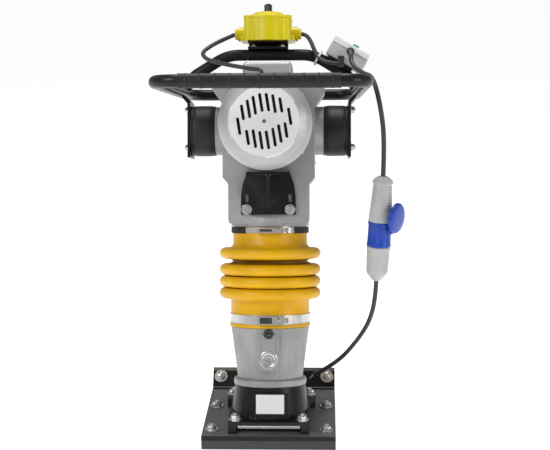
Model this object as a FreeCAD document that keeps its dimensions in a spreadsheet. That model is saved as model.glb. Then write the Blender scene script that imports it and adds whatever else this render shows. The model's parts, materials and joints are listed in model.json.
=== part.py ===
import FreeCAD, Part
import math
import os
import Sketcher
from types import SimpleNamespace
from FreeCAD import Placement, Rotation, Vector

# Electric tamping rammer, millimetres. World: +X operator's right, +Y forward (toe), +Z up, origin at
# the centre of the sole's underside. The ramming axis leans forward; LEAN is the frame of that axis.

SIZES = {
    "lean_angle": 12.0, "axis_y": -34.5, "axis_z": 60.0,
    # sole and foot
    "sole_width": 285.0, "sole_back": 150.0, "sole_front": 162.6, "pad_thick": 20.0,
    "sole_steel": 10.0, "toe_length": 64.6, "toe_angle": 52.0, "sole_bolt_x": 122.5,
    "base_half": 86.0, "base_height": 26.0, "base_back": 136.0, "base_front": 66.0,
    "cone_low": 86.0, "cone_top": 77.0, "cone_height": 44.0,
    "bolt_shank": 6.0, "bolt_hex": 10.0, "washer_radius": 15.0,
    # spring housing and springs
    "ring_radius": 79.0, "waist_radius": 71.0, "flare_radius": 86.0, "spigot_radius": 81.6,
    "tube_outer": 62.0, "tube_inner": 54.0, "tube_height": 272.0, "spring_wire": 5.0,
    "spring_coil": 44.0, "rod_radius": 14.0, "piston_radius": 53.9,
    # bellows and clamps
    "bellows_ring": 98.7, "bellows_fold": 12.0, "bellows_wall": 3.6, "low_neck": 86.0, "high_neck": 81.0,
    # crankcase
    "lip_radius": 85.0, "case_depth": 160.0, "case_wall": 10.0, "bore_radius": 60.0, "cover_thick": 10.0,
    "boss_radius": 52.5, "sleeve_outer": 71.0, "sleeve_inner": 62.1, "sleeve_neck": 77.0,
    # drive
    "motor_height": 601.0, "motor_radius": 88.0, "motor_wall": 10.0, "cowl_radius": 95.0,
    "cowl_disc": 70.0, "cowl_front": 271.0, "shaft_radius": 12.0, "stator_bore": 46.0,
    "rotor_radius": 45.0, "gear_module": 2.5, "pinion_teeth": 14.0, "gear_teeth": 52.0,
    "gear_width": 18.0, "crank_throw": 28.0, "crank_pin": 9.0, "crank_shaft": 14.0, "rod_length": 95.0,
    "rod_eye": 20.0, "rod_small_eye": 15.0, "wrist_pin": 7.0, "rod_thick": 18.0,
    # handle
    "tube_radius": 12.5, "grip_radius": 14.5, "bar_half": 198.0, "bar_near": -459.0, "bar_height": 663.0,
    "cross_half": 190.0, "cross_far": 130.0, "cross_height": 687.0, "arch_height": 768.0,
    "arch_half": 95.0, "arch_depth": 45.0, "rubber_radius": 55.0, "rubber_length": 53.0,
    "plate_x": 170.0, "plate_thick": 6.0,
    # electrics
    "box_x": -5.5, "box_low": 797.0, "box_high": 845.0, "isolator_length": 88.0, "isolator_height": 44.0,
    "isolator_depth": 62.0, "isolator_tilt": 30.0, "lead_radius": 4.6, "cord_radius": 5.0,
    "coupling_radius": 23.0, "collar_radius": 25.5, "plug_radius": 24.0,
}

doc = FreeCAD.newDocument("TampingRammer")
nodes = []


class Dim:
    """A size: its number and the sheet expression that gives it."""

    def __init__(self, value, text):
        self.value = value
        self.text = text

    def _join(self, other, sign, value):
        return Dim(value, "(%s %s %s)" % (self.text, sign, text_of(other)))

    def __add__(self, other):
        return self._join(other, "+", self.value + number(other))

    def __sub__(self, other):
        return self._join(other, "-", self.value - number(other))

    def __mul__(self, other):
        return self._join(other, "*", self.value * number(other))

    def __truediv__(self, other):
        return self._join(other, "/", self.value / number(other))

    def __neg__(self):
        return Dim(-self.value, "(0 - %s)" % self.text)


def number(size):
    return size.value if isinstance(size, Dim) else float(size)


def text_of(size):
    return size.text if isinstance(size, Dim) else repr(float(size))


def make_sheet():
    sheet = doc.addObject("Spreadsheet::Sheet", "Dims")
    for row, (name, value) in enumerate(SIZES.items(), start=1):
        sheet.set("A%d" % row, name)
        sheet.set("B%d" % row, repr(value))
        sheet.setAlias("B%d" % row, name)
    doc.recompute()
    return SimpleNamespace(**{name: Dim(value, "Dims." + name) for name, value in SIZES.items()})


d = make_sheet()


def frame(x=0.0, y=0.0, z=0.0, axis=Vector(0, 0, 1), angle=0.0):
    return Placement(Vector(number(x), number(y), number(z)), Rotation(axis, number(angle)))


X_AXIS, Y_AXIS, Z_AXIS = Vector(1, 0, 0), Vector(0, 1, 0), Vector(0, 0, 1)
WORLD = Placement()
LEAN = frame(0, d.axis_y, d.axis_z, X_AXIS, -d.lean_angle)
FRONT = LEAN.multiply(frame(0, 0, 0, X_AXIS, 90))      # x right, y up the axis, z to the operator
MOTOR = LEAN.multiply(frame(0, 0, d.motor_height, X_AXIS, 90))
CRANK_DROP = (d.pinion_teeth + d.gear_teeth) * d.gear_module / 2
CRANK = LEAN.multiply(frame(0, 0, d.motor_height - CRANK_DROP, X_AXIS, 90))
ISOLATOR_FACE = number(d.arch_depth) - number(d.isolator_depth) / 2
ISOLATOR_SEAT = frame(171, ISOLATOR_FACE, 766, Y_AXIS, d.isolator_tilt)
ALONG_Y = frame(axis=X_AXIS, angle=-90)
ALONG_X = frame(axis=Y_AXIS, angle=90)


def bind(obj, **sizes):
    for name, size in sizes.items():
        setattr(obj, name, number(size))
        if isinstance(size, Dim):
            obj.setExpression(name, size.text)
    return obj


def at(obj, place):
    obj.Placement = place
    return obj


def cylinder(name, radius, height, place=WORLD):
    return at(bind(doc.addObject("Part::Cylinder", name), Radius=radius, Height=height), place)


def cone(name, low, high, height, place=WORLD):
    return at(bind(doc.addObject("Part::Cone", name), Radius1=low, Radius2=high, Height=height), place)


def box(name, length, width, height, place=WORLD):
    return at(bind(doc.addObject("Part::Box", name), Length=length, Width=width, Height=height), place)


def centred_box(name, length, width, height, x, y, z):
    place = frame(x - number(length) / 2, y - number(width) / 2, z)
    return box(name, length, width, height, place)


def prism(name, sides, across, height, place=WORLD):
    obj = doc.addObject("Part::Prism", name)
    obj.Polygon = sides
    return at(bind(obj, Circumradius=across, Height=height), place)


def fuse(name, tools):
    obj = doc.addObject("Part::MultiFuse", name)
    obj.Shapes = tools
    obj.Refine = True
    return obj


def cut(name, base, tools):
    obj = doc.addObject("Part::Cut", name)
    obj.Base = base
    obj.Tool = tools[0] if len(tools) == 1 else fuse(name + "_tools", tools)
    return obj


def origin_plane(body, role):
    return [f for f in body.Origin.OriginFeatures if f.Role == role][0]


def outline_sketch(body, name, role, points):
    """A closed outline whose corners are held to the sheet's sizes."""
    sketch = body.newObject("Sketcher::SketchObject", name)
    sketch.AttachmentSupport = [(origin_plane(body, role), "")]
    sketch.MapMode = "FlatFace"
    flat = [Vector(number(u), number(v), 0) for u, v in points]
    for i, start in enumerate(flat):
        sketch.addGeometry(Part.LineSegment(start, flat[(i + 1) % len(flat)]), False)
    for i in range(len(flat)):
        sketch.addConstraint(Sketcher.Constraint("Coincident", i, 2, (i + 1) % len(flat), 1))
    for i, pair in enumerate(points):
        for kind, rail, size in (("DistanceX", -2, pair[0]), ("DistanceY", -1, pair[1])):
            if abs(number(size)) < 1e-9:
                sketch.addConstraint(Sketcher.Constraint("PointOnObject", i, 1, rail))
                continue
            row = sketch.addConstraint(Sketcher.Constraint(kind, -1, 1, i, 1, number(size)))
            if isinstance(size, Dim):
                sketch.setExpression("Constraints[%d]" % row, size.text)
    return sketch


def lathe(name, points, place=WORLD):
    """A turned solid: (radius, height) corners revolved about the body's Z."""
    body = doc.addObject("PartDesign::Body", name)
    sketch = outline_sketch(body, name + "_profile", "XZ_Plane", points)
    turn = body.newObject("PartDesign::Revolution", name + "_turn")
    turn.Profile = sketch
    turn.ReferenceAxis = (sketch, ["V_Axis"])
    turn.Angle = 360.0
    sketch.Visibility = False
    return at(body, place)


def slab(name, points, thickness, place=WORLD):
    """A flat plate: an outline in XY padded along +Z."""
    body = doc.addObject("PartDesign::Body", name)
    sketch = outline_sketch(body, name + "_outline", "XY_Plane", points)
    pad = body.newObject("PartDesign::Pad", name + "_pad")
    pad.Profile = sketch
    bind(pad, Length=thickness)
    sketch.Visibility = False
    return at(body, place)


def mirrored(points):
    return points + [(-u, v) for u, v in reversed(points)]


def pipe(name, points, radius, closed=False, radii=None):
    """A round tube or cord on straight runs joined by tangent arcs."""
    spots = [Vector(*p) for p in points]
    count = len(spots)
    turns = range(count) if closed else range(1, count - 1)
    ends = {}
    edges = {}
    for i in turns:
        before, here, after = spots[i - 1], spots[i], spots[(i + 1) % count]
        back, ahead = (before - here), (after - here)
        short = min(back.Length, ahead.Length)
        back.normalize()
        ahead.normalize()
        half = (math.pi - back.getAngle(ahead)) / 2
        if half < 0.001:
            continue
        bend = 0.45 * short / math.tan(half)
        if radii:
            bend = min(bend, radii)
        reach = bend * math.tan(half)
        start, stop = here + back * reach, here + ahead * reach
        inward = back + ahead
        inward.normalize()
        middle = here + inward * (bend / math.cos(half) - bend)
        edges[i] = Part.Arc(start, middle, stop).toShape()
        ends[i] = (start, stop)
        if not radii:
            print("%s bend %d radius %.1f" % (name, i, bend))
    chain = []
    for i in range(count if closed else count - 1):
        j = (i + 1) % count
        start = ends[i][1] if i in ends else spots[i]
        stop = ends[j][0] if j in ends else spots[j]
        chain.append(Part.LineSegment(start, stop).toShape())
        if j in edges:
            chain.append(edges[j])
    wire = Part.Wire(chain)
    first = chain[0]
    heading = first.tangentAt(first.FirstParameter)
    ring = Part.Wire([Part.Circle(first.Vertexes[0].Point, heading, number(radius)).toShape()])
    obj = doc.addObject("Part::Feature", name)
    obj.Shape = wire.makePipeShell([ring], True, False)
    return obj


def node(label, obj, place=None):
    """Keep a finished piece under its node name, in its own frame."""
    if place is not None:
        obj.Placement = place.multiply(obj.Placement)
    obj.Label = label
    nodes.append((label, obj))
    return obj


def hex_bolt(name, head, washer, shank, depth, place, height=10.0):
    """Hexagon nut on a washer with a round shank going down."""
    parts = [cylinder(name + "_washer", washer, 3, place),
             prism(name + "_hex", 6, head, height, place.multiply(frame(z=3))),
             cylinder(name + "_shank", shank, depth + 8 + height,
                      place.multiply(frame(z=-number(depth))))]
    return fuse(name, parts)


def bolts(label, head, washer, shank, depth, places, place, height=10.0):
    """Identical fasteners kept as one node of separate solids."""
    made = [hex_bolt("%s_%d" % (label, i), head, washer, shank, depth, p, height)
            for i, p in enumerate(places)]
    group = doc.addObject("Part::Compound", label)
    group.Links = made
    return node(label, group, place)


def toe_profile(low, thick):
    """Side outline (y, z) of a sole layer with its upturned toe."""
    front = number(d.sole_front)
    rise = number(d.toe_length) * math.sin(math.radians(number(d.toe_angle)))
    run = number(d.toe_length) * math.cos(math.radians(number(d.toe_angle)))
    lean_y = math.sin(math.radians(number(d.toe_angle)))
    lean_z = math.cos(math.radians(number(d.toe_angle)))
    knee = front - number(low) * math.tan(math.radians(number(d.toe_angle) / 2))
    top = low + thick
    inner = front - number(top) * math.tan(math.radians(number(d.toe_angle) / 2))
    tip_y = front + run
    return [(-d.sole_back, low), (Dim(knee, repr(knee)), low),
            (tip_y - number(low) * lean_y, rise + number(low) * lean_z),
            (tip_y - number(top) * lean_y, rise + number(top) * lean_z),
            (inner, top), (-d.sole_back, top)]


def sole():
    half = number(d.sole_width) / 2
    stand = Placement(Vector(-half, 0, 0), Rotation(Vector(1, 1, 1), 120))
    places = [frame(x * number(d.sole_bolt_x), y, 30) for x in (-1, 1) for y in (-113, 28)]
    slope = math.radians(number(d.toe_angle))
    knee = number(d.sole_front) - 30 * math.tan(slope / 2)
    toe_y, toe_z = knee + 28 * math.cos(slope), 30 + 28 * math.sin(slope)
    for x in (-1, 1):
        places.append(frame(x * 124.0, toe_y, toe_z + 0.002, X_AXIS, d.toe_angle))
    layers = (("sole_pad", 0.0, d.pad_thick), ("sole_plate", d.pad_thick, d.sole_steel))
    for label, low, thick in layers:
        low = low if isinstance(low, Dim) else Dim(low, repr(low))
        blank = slab(label + "_blank", toe_profile(low, thick), d.sole_width, stand)
        drills = [cylinder("%s_drill_%d" % (label, i), d.bolt_shank + 0.05, 60,
                           p.multiply(frame(z=-25 if label == "sole_pad" else -40)))
                  for i, p in enumerate(places)]
        if label == "sole_plate":
            step = box("toe_step", 2 * half - 4, 8, 4, frame(2 - half, 138, 29.5))
            blank = fuse("sole_plate_solid", [blank, step])
        node(label, cut(label, blank, drills))
    bolts("sole_bolts", d.bolt_hex, d.washer_radius, d.bolt_shank, 22, places, WORLD)


def foot():
    top = d.base_height
    ears = [(-d.base_half, -d.base_back), (d.base_half, -d.base_back), (d.base_half, 14), (98, 22),
            (98, 56), (88, d.base_front), (-88, d.base_front), (-98, 56), (-98, 22), (-d.base_half, 14)]
    base = slab("foot_flange", ears, top, frame(z=30))
    recess = box("foot_recess", 138, 16, 19, frame(-69, -137, 29))
    socket = cone("foot_socket", d.cone_low, d.cone_top, d.cone_height + 22, LEAN.multiply(frame(z=-22)))
    face = box("foot_face", 72, 30, 48, LEAN.multiply(frame(-32, -86, -16)))
    under = box("foot_under", 400, 400, 60, frame(-200, -200, -30))
    well = cylinder("foot_well", d.tube_outer + 0.05, 70, LEAN.multiply(frame(z=4)))
    body = fuse("foot_solid", [base, socket, face])
    places = [frame(x, y, 56) for x, y in ((-71.5, -120), (71.5, -120), (-84, 38), (84, 38))]
    drills = [cylinder("foot_drill_%d" % i, d.bolt_shank + 0.05, 60, p.multiply(frame(z=-50)))
              for i, p in enumerate(places)]
    node("foot_casting", cut("foot_casting", body, [under, recess, well] + drills))
    bolts("foot_bolts", d.bolt_hex, d.washer_radius - 1, d.bolt_shank, 25.9, places, WORLD)
    node("data_plate", box("data_plate", 60, 1, 41, frame(-27, -87, -9)), LEAN)


def lower_housing():
    profile = [(76, 44), (d.ring_radius, 47), (d.ring_radius, 57), (76, 60), (d.waist_radius, 62),
               (d.flare_radius, 172), (d.spigot_radius, 172.5), (d.spigot_radius, 212),
               (d.tube_outer + 0.05, 212), (d.tube_outer + 0.05, 44)]
    shell = lathe("lower_shell", profile)
    pad = box("lower_pad", 46, 22, 90, frame(-23, -87, 82))
    sight = cylinder("lower_sight_seat", 12.05, 30, frame(0, -90, 106).multiply(ALONG_Y))
    plug = cylinder("lower_plug_seat", 8.05, 12, frame(0, -90, 161.5).multiply(ALONG_Y))
    core = cylinder("lower_core", d.tube_outer + 0.05, 200, frame(z=40))
    solid = fuse("lower_solid", [shell, pad])
    node("lower_housing", cut("lower_housing", solid, [sight, plug, core]), LEAN)
    glass = lathe("sight_glass", [(0, 0), (12, 0), (12, 14), (19.5, 14), (19.5, 18), (15, 19),
                                  (13, 17), (6, 17), (6, 20), (0, 20)],
                  frame(0, -73, 106, X_AXIS, 90))
    node("sight_glass", glass, LEAN)
    drain = lathe("drain_plug", [(0, 0), (8, 0), (8, 7), (10.5, 7), (10.5, 12), (4, 12), (4, 10), (0, 10)],
                  frame(0, -80, 161.5, X_AXIS, 90))
    node("drain_plug", drain, LEAN)


def coil(name, radius, wire, low, high, turns):
    """Compression spring as one swept solid."""
    pitch = (high - low - 2 * number(wire)) / turns
    helix = Part.makeHelix(pitch, pitch * turns, number(radius))
    ring = Part.Wire([Part.Circle(Vector(number(radius), 0, 0), Y_AXIS, number(wire)).toShape()])
    obj = doc.addObject("Part::Feature", name)
    obj.Shape = Part.Wire(helix.Edges).makePipeShell([ring], True, True)
    obj.Placement = frame(z=low + number(wire))
    return obj


def spring_pack():
    top = 60 + number(d.tube_height)
    tube = lathe("spring_tube", [(0, 48), (d.tube_outer, 48), (d.tube_outer, top + 4),
                                 (d.rod_radius + 0.06, top + 4), (d.rod_radius + 0.06, top - 12),
                                 (d.tube_inner, top - 12), (d.tube_inner, 58), (0, 58)])
    node("spring_tube", tube, LEAN)
    node("lower_spring", coil("lower_spring", d.spring_coil, d.spring_wire, 59, 183, 5), LEAN)
    node("upper_spring", coil("upper_spring", d.spring_coil, d.spring_wire, 201, 318, 5), LEAN)
    stem = lathe("piston_stem", [(0, 184), (d.piston_radius, 184), (d.piston_radius, 200),
                                 (d.rod_radius, 200), (d.rod_radius, 352), (0, 352)])
    bridge = box("fork_bridge", 34, 36, 18, frame(-17, -18, 350))
    cheeks = [box("fork_cheek_%d" % i, 34, 7, 62, frame(-17, y, 350)) for i, y in enumerate((-18, 11))]
    bore = cylinder("fork_bore", d.wrist_pin + 0.05, 60, frame(0, -30, 395.5).multiply(ALONG_Y))
    node("piston_rod", cut("piston_rod", fuse("piston_solid", [stem, bridge] + cheeks), [bore]), LEAN)


def fold_path(gate, major, minor, low, high, core):
    """Half-section corners of the bellows; a fold is the middle of three marked corners."""
    path = [Vector(r, 0, z) for r, z in low]
    rise = math.sqrt(minor ** 2 - (major - gate) ** 2)
    for z in (244.5, 270.0, 296.0, 331.0):
        path += [Vector(core, 0, z - rise), Vector(gate, 0, z - rise), Vector(major + minor, 1, z),
                 Vector(gate, 0, z + rise), Vector(core, 0, z + rise)]
    return path + [Vector(r, 0, z) for r, z in high]


def path_edges(path):
    """Lines between corners, and an arc through each corner that is marked by y = 1."""
    edges = []
    for start, here, stop in zip(path, path[1:], path[2:] + [None]):
        if here.y:
            edges.append(Part.Arc(start, Vector(here.x, 0, here.z), stop))
        elif not start.y:
            edges.append(Part.LineSegment(start, here))
    return edges


def bellows():
    wall, major, minor = number(d.bellows_wall), number(d.bellows_ring), number(d.bellows_fold)
    low, high = number(d.low_neck), number(d.high_neck)
    outside = fold_path(89.0, major, minor, [(88, 172.6), (88, 178), (low, 180), (low, 234)],
                        [(high, 345), (high, 389)], 80.0)
    inside = fold_path(91.06, major, minor - wall, [(82, 172.6), (82, 236)],
                       [(high - wall, 341), (high - wall, 389)], 80.0 - wall)
    ends = [Part.LineSegment(outside[-1], inside[-1]), Part.LineSegment(inside[0], outside[0])]
    edges = [e.toShape() for e in path_edges(outside) + path_edges(inside) + ends]
    face = Part.Face(Part.Wire(Part.sortEdges(edges)[0]))
    obj = doc.addObject("Part::Feature", "bellows_skin")
    obj.Shape = face.revolve(Vector(), Z_AXIS, 360)
    node("bellows", obj, LEAN)
    clamp("upper_clamp", high, 375.5, 387.5)
    clamp("lower_clamp", low, 180.5, 200.5)


def clamp(label, neck, low, high):
    """Band clamp with its T-bolt bridge on the operator's side."""
    band = lathe(label + "_ring", [(neck + 0.1, low), (neck + 1.6, low), (neck + 1.6, high),
                                   (neck + 0.1, high)])
    face = -number(neck) - 1.7
    wide = high - low
    bridge = box(label + "_bridge", 44, 9, wide - 2, frame(-24, face - 9, low + 1))
    slot = box(label + "_slot", 26, 4, wide - 7, frame(-18, face - 10, low + 3.5))
    lug = box(label + "_lug", 10, 12, wide - 1, frame(24, face - 12, low + 0.5))
    screw = cylinder(label + "_screw", 3.2, 28, frame(12, face - 5, (low + high) / 2).multiply(ALONG_X))
    head = prism(label + "_head", 6, 5.6, 7, frame(36, face - 5, (low + high) / 2).multiply(ALONG_X))
    body = cut(label + "_block", bridge, [slot])
    saddle = box(label + "_saddle", 50, 4, wide - 3, frame(-24, face - 1, low + 1.5))
    whole = fuse(label + "_whole", [band, body, lug, screw, head, saddle])
    throat = cylinder(label + "_throat", neck + 0.1, 60, frame(z=low - 20))
    node(label, cut(label, whole, [throat]), LEAN)


CASE = [(84, 396), (86, 404), (86, 480), (98, 494), (98, 650), (120, 682), (120, 694), (106, 704)]
CAVITY = [(72, 418), (74, 484), (88, 498), (88, 648), (104, 672), (104, 688), (98, 694)]


def crankcase():
    depth = number(d.case_depth)
    shell = slab("case_block", mirrored(CASE), d.case_depth, FRONT.multiply(frame(z=-depth / 2)))
    hollow = slab("case_cavity", mirrored(CAVITY), d.case_depth,
                  FRONT.multiply(frame(z=-depth / 2 - number(d.case_wall))))
    lip = cylinder("case_lip", d.lip_radius, 18, LEAN.multiply(frame(z=390)))
    throat = cylinder("case_throat", d.bore_radius, 60, LEAN.multiply(frame(z=380)))
    arms = cylinder("case_arms", d.boss_radius, 234,
                    LEAN.multiply(frame(-117, 0, 597)).multiply(ALONG_X))
    hollow_arms = box("case_arm_core", 176, 140, 140, LEAN.multiply(frame(-88, -70, 500)))
    housings = [cylinder("motor_boss", 36, 18, MOTOR.multiply(frame(z=62))),
                cylinder("crank_boss", 38, 18, CRANK.multiply(frame(z=62)))]
    bores = [cylinder("motor_bore", 21.05, 40, MOTOR.multiply(frame(z=50))),
             cylinder("crank_bore", 28.05, 27, CRANK.multiply(frame(z=50)))]
    arms_open = cut("case_arms_open", arms, [hollow_arms])
    body = fuse("case_body", [shell, lip])
    hollowed = cut("case_hollowed", body, [hollow, throat])
    whole = fuse("case_whole", [hollowed, arms_open] + housings)
    node("crankcase_housing", cut("crankcase_housing", whole, bores))
    cover = slab("crankcase_cover", mirrored([(86, 408.2)] + CASE[2:]), d.cover_thick,
                 FRONT.multiply(frame(z=-depth / 2 - number(d.cover_thick))))
    node("crankcase_cover", cover)
    spots = [(x * s, y) for x in (-1, 1) for s, y in ((79, 430), (92, 530), (92, 620), (108, 686))]
    back = depth / 2 + number(d.cover_thick)
    bolts("cover_screws", 6, 7.5, 3.0, 9, [frame(x, back, y).multiply(ALONG_Y) for x, y in spots], LEAN, 5)
    top = box("top_housing_block", 106, 110, 38, frame(-56, -60, 704))
    room = box("top_housing_room", 94, 98, 32, frame(-50, -54, 702))
    shape = doc.addObject("Part::Fillet", "top_housing_round")
    shape.Base = top
    shape.Edges = [(i, 8.0, 8.0) for i in (1, 3, 5, 7, 2, 6, 10, 12)]
    node("top_housing", cut("top_housing", shape, [room]), LEAN)
    sleeve = lathe("guide_sleeve", [(d.sleeve_inner, 222), (d.sleeve_outer, 222), (d.sleeve_outer, 340),
                                    (d.sleeve_neck, 346), (d.sleeve_neck, 390), (d.sleeve_inner, 390)])
    node("guide_sleeve", sleeve, LEAN)


def motor_bracket():
    outline = mirrored([(58, 415), (58, 452), (55, 476), (46, 503)])
    plate = slab("bracket_plate", outline, 8, FRONT.multiply(frame(z=80)))
    shelf = box("bracket_shelf", 92, 34, 6, LEAN.multiply(frame(-46, -114, 499)))
    rib = slab("bracket_rib", [(-114, 499), (-88, 430), (-87, 430), (-87, 499)], 8,
               LEAN.multiply(Placement(Vector(-4, 0, 0), Rotation(Vector(1, 1, 1), 120))))
    spots = [(-46, 426), (46, 426)]
    drills = [cylinder("bracket_drill_%d" % i, 5.05, 30, LEAN.multiply(frame(x, -100, y).multiply(ALONG_Y)))
              for i, (x, y) in enumerate(spots)]
    slots = [box("bracket_slot_%d" % i, 7, 30, 18, LEAN.multiply(frame(x - 3.5, -100, 440)))
             for i, (x, y) in enumerate(spots)]
    body = fuse("bracket_solid", [plate, shelf, rib])
    node("motor_bracket", cut("motor_bracket", body, drills + slots))
    places = [frame(x, -88, y, X_AXIS, 90) for x, y in spots]
    bolts("bracket_bolts", 8.5, 11, 5.0, 8, places, LEAN, 7)


def ring_gear(name, teeth, width, bore, place):
    """Involute spur gear with a little backlash."""
    module = number(d.gear_module)
    count = int(number(teeth))
    pitch, pressure = module * count / 2, math.radians(20)
    base = pitch * math.cos(pressure)
    outer, root = pitch + module, pitch - 1.25 * module
    slack = 0.35 / pitch / 2
    half = math.pi / (2 * count) + math.tan(pressure) - pressure - slack

    def flank(radius):
        turn = math.acos(min(1.0, base / max(radius, base)))
        return half - (math.tan(turn) - turn)

    points = []
    radii = [root] + [max(base, root) + (outer - max(base, root)) * k / 4 for k in range(5)]
    for tooth in range(count):
        mid = 2 * math.pi * tooth / count
        for sign, steps in ((-1, radii), (1, list(reversed(radii)))):
            for radius in steps:
                angle = mid + sign * flank(radius)
                points.append(Vector(radius * math.cos(angle), radius * math.sin(angle), 0))
    face = Part.Face(Part.makePolygon(points + [points[0]]))
    hole = Part.Face(Part.Wire([Part.Circle(Vector(), Z_AXIS, number(bore)).toShape()]))
    obj = doc.addObject("Part::Feature", name)
    obj.Shape = face.cut(hole).extrude(Vector(0, 0, number(width)))
    return at(obj, place)


def drive():
    wide = d.gear_width
    pinion_spin = 90.0
    gear_spin = 90.0 + 180.0 / number(d.gear_teeth)
    pinion = ring_gear("motor_pinion", d.pinion_teeth, wide, 10.0,
                       MOTOR.multiply(frame(z=22, axis=Z_AXIS, angle=-pinion_spin)))
    node("motor_pinion", pinion)
    rim = ring_gear("crank_rim", d.gear_teeth, wide, 14.0,
                    CRANK.multiply(frame(z=22, axis=Z_AXIS, angle=gear_spin)))
    windows = [cylinder("gear_window_%d" % i, 11, 40,
                        CRANK.multiply(frame(axis=Z_AXIS, angle=30 + 60 * i)).multiply(frame(x=40, z=10)))
               for i in range(6)]
    pin = cylinder("crank_pin", d.crank_pin, 50, CRANK.multiply(frame(y=-d.crank_throw, z=-12)))
    hub = cylinder("crank_hub", 24, wide, CRANK.multiply(frame(z=22)))
    pin_boss = cylinder("crank_pin_boss", 16, wide, CRANK.multiply(frame(y=-d.crank_throw, z=22)))
    stub = cylinder("crank_stub", d.crank_shaft, 54, CRANK.multiply(frame(z=22)))
    web = cut("crank_web", rim, windows)
    node("crank_gear", fuse("crank_gear", [web, hub, pin_boss, stub, pin]))
    rings = [bearing("crank_bearing", d.crank_shaft, 28, 15, CRANK.multiply(frame(z=62))),
             bearing("front_bearing", d.shaft_radius, 21, 14, MOTOR.multiply(frame(z=66))),
             bearing("rear_bearing", d.shaft_radius, 20, 10, MOTOR.multiply(frame(z=226)))]
    group = doc.addObject("Part::Compound", "shaft_bearings")
    group.Links = rings
    node("shaft_bearings", group)
    connecting_rod()


def bearing(name, shaft, outer, width, place):
    inner = shaft + 0.05
    return lathe(name + "_ring", [(inner, 0), (outer, 0), (outer, width), (inner, width)], place)


def connecting_rod():
    length, thick = number(d.rod_length), d.rod_thick
    big = number(d.crank_throw)
    eye_at = CRANK.multiply(frame(y=-big, z=-number(thick) / 2))
    small_at = CRANK.multiply(frame(y=-big - length, z=-number(thick) / 2))
    shank = centred_box("rod_shank", 18, length, thick, 0, -big - length / 2, -number(thick) / 2)
    shank.Placement = CRANK.multiply(shank.Placement)
    eyes = [cylinder("rod_big_end", d.rod_eye, thick, eye_at),
            cylinder("rod_small_end", d.rod_small_eye, thick, small_at)]
    bore = cylinder("rod_big_bore", d.crank_pin + 0.05, 60, eye_at.multiply(frame(z=-20)))
    pin = cylinder("wrist_pin", d.wrist_pin, 21, small_at.multiply(frame(z=-1.5)))
    node("connecting_rod", cut("connecting_rod", fuse("rod_solid", eyes + [shank, pin]), [bore]))


def motor():
    r, wall = d.motor_radius, d.motor_wall
    case = lathe("motor_case", [(60, 80), (92, 80), (92, 92), (r, 92), (r, 236), (20.05, 236),
                                (20.05, 226), (r - wall, 226), (r - wall, 90), (60, 90)])
    ribs = [box("motor_rib_%d" % i, 4, 5, 104, frame(axis=Z_AXIS, angle=20 + 20 * i)
                .multiply(frame(-2, number(r) - 2, 94))) for i in range(16)]
    node("motor_housing", fuse("motor_housing", [case] + ribs), MOTOR)
    stator = lathe("motor_stator", [(d.stator_bore, 110), (77.95, 110), (77.95, 200), (d.stator_bore, 200)])
    node("motor_stator", stator, MOTOR)
    rotor = lathe("motor_rotor", [(0, 18), (10, 18), (10, 44), (d.shaft_radius, 44), (d.shaft_radius, 112),
                                  (d.rotor_radius, 112), (d.rotor_radius, 198), (d.shaft_radius, 198),
                                  (d.shaft_radius, 260), (0, 260)])
    node("motor_rotor", rotor, MOTOR)
    hub = lathe("fan_hub", [(d.shaft_radius, 241), (24, 241), (24, 258), (d.shaft_radius, 258)])
    disc = cylinder("fan_disc", 78, 3, frame(z=242))
    hole = cylinder("fan_hole", 18, 20, frame(z=235))
    blades = [box("fan_blade_%d" % i, 54, 3, 12, frame(axis=Z_AXIS, angle=10 + 40 * i)
                  .multiply(frame(20, -1.5, 243.5))) for i in range(9)]
    plate = cut("fan_plate", disc, [hole])
    node("cooling_fan", fuse("cooling_fan", [hub, plate] + blades), MOTOR)
    cowl()
    node("terminal_box", fuse("terminal_solid",
                              [box("terminal_case", 70, 66, 16, frame(-35, -200, 682)),
                               cylinder("terminal_gland", 8, 8, frame(-10, -168, 697))]), LEAN)


def cowl():
    """Pressed fan cover with its cooling slots."""
    rim, disc, front = d.cowl_radius, d.cowl_disc, d.cowl_front
    shell = lathe("cowl_shell", [(rim - 2.5, 200), (rim, 200), (rim, 236), (rim - 3, 250), (rim - 10, 261),
                                 (disc + 4, 268), (disc, front), (0, front), (0, front - 2.5),
                                 (disc - 1, front - 2.5), (disc + 3, 265.5), (rim - 11, 259),
                                 (rim - 5.5, 249), (rim - 2.5, 236)])
    slots = []
    layout = ((-43, 17.5, 31), (-31, 24.5, 37), (-19.5, 31.5, 37.5), (-6.5, 37, 37.5), (6.5, 37.5, 37),
              (19.5, 34.5, 37.5), (33, 32, 30.5), (50.5, 9.5, 35))
    for side in (1, -1):
        for i, (x, y, long) in enumerate(layout):
            straight = long - 6
            lean = frame(side * x, side * y, 258, Z_AXIS, 9)
            middle = lean.multiply(frame(-3, -straight / 2, 0))
            slots.append(box("cowl_slot_%d_%d" % (side, i), 6, straight, 20, middle))
            for end in (-1, 1):
                tip = lean.multiply(frame(0, end * straight / 2, 0))
                slots.append(cylinder("cowl_slot_end_%d_%d_%d" % (side, i, end), 3, 20, tip))
    slots.append(cylinder("cowl_hole", 4, 30, frame(z=250)))
    node("fan_cover", cut("fan_cover", shell, slots), MOTOR)
    places = []
    for angle in (38, 142, 218, 322):
        turn = frame(axis=Z_AXIS, angle=angle)
        places.append(turn.multiply(frame(number(rim), 0, 212)).multiply(ALONG_X))
    bolts("cover_rim_screws", 3.4, 4.2, 1.8, 8.5, places, MOTOR, 2.5)


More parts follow.
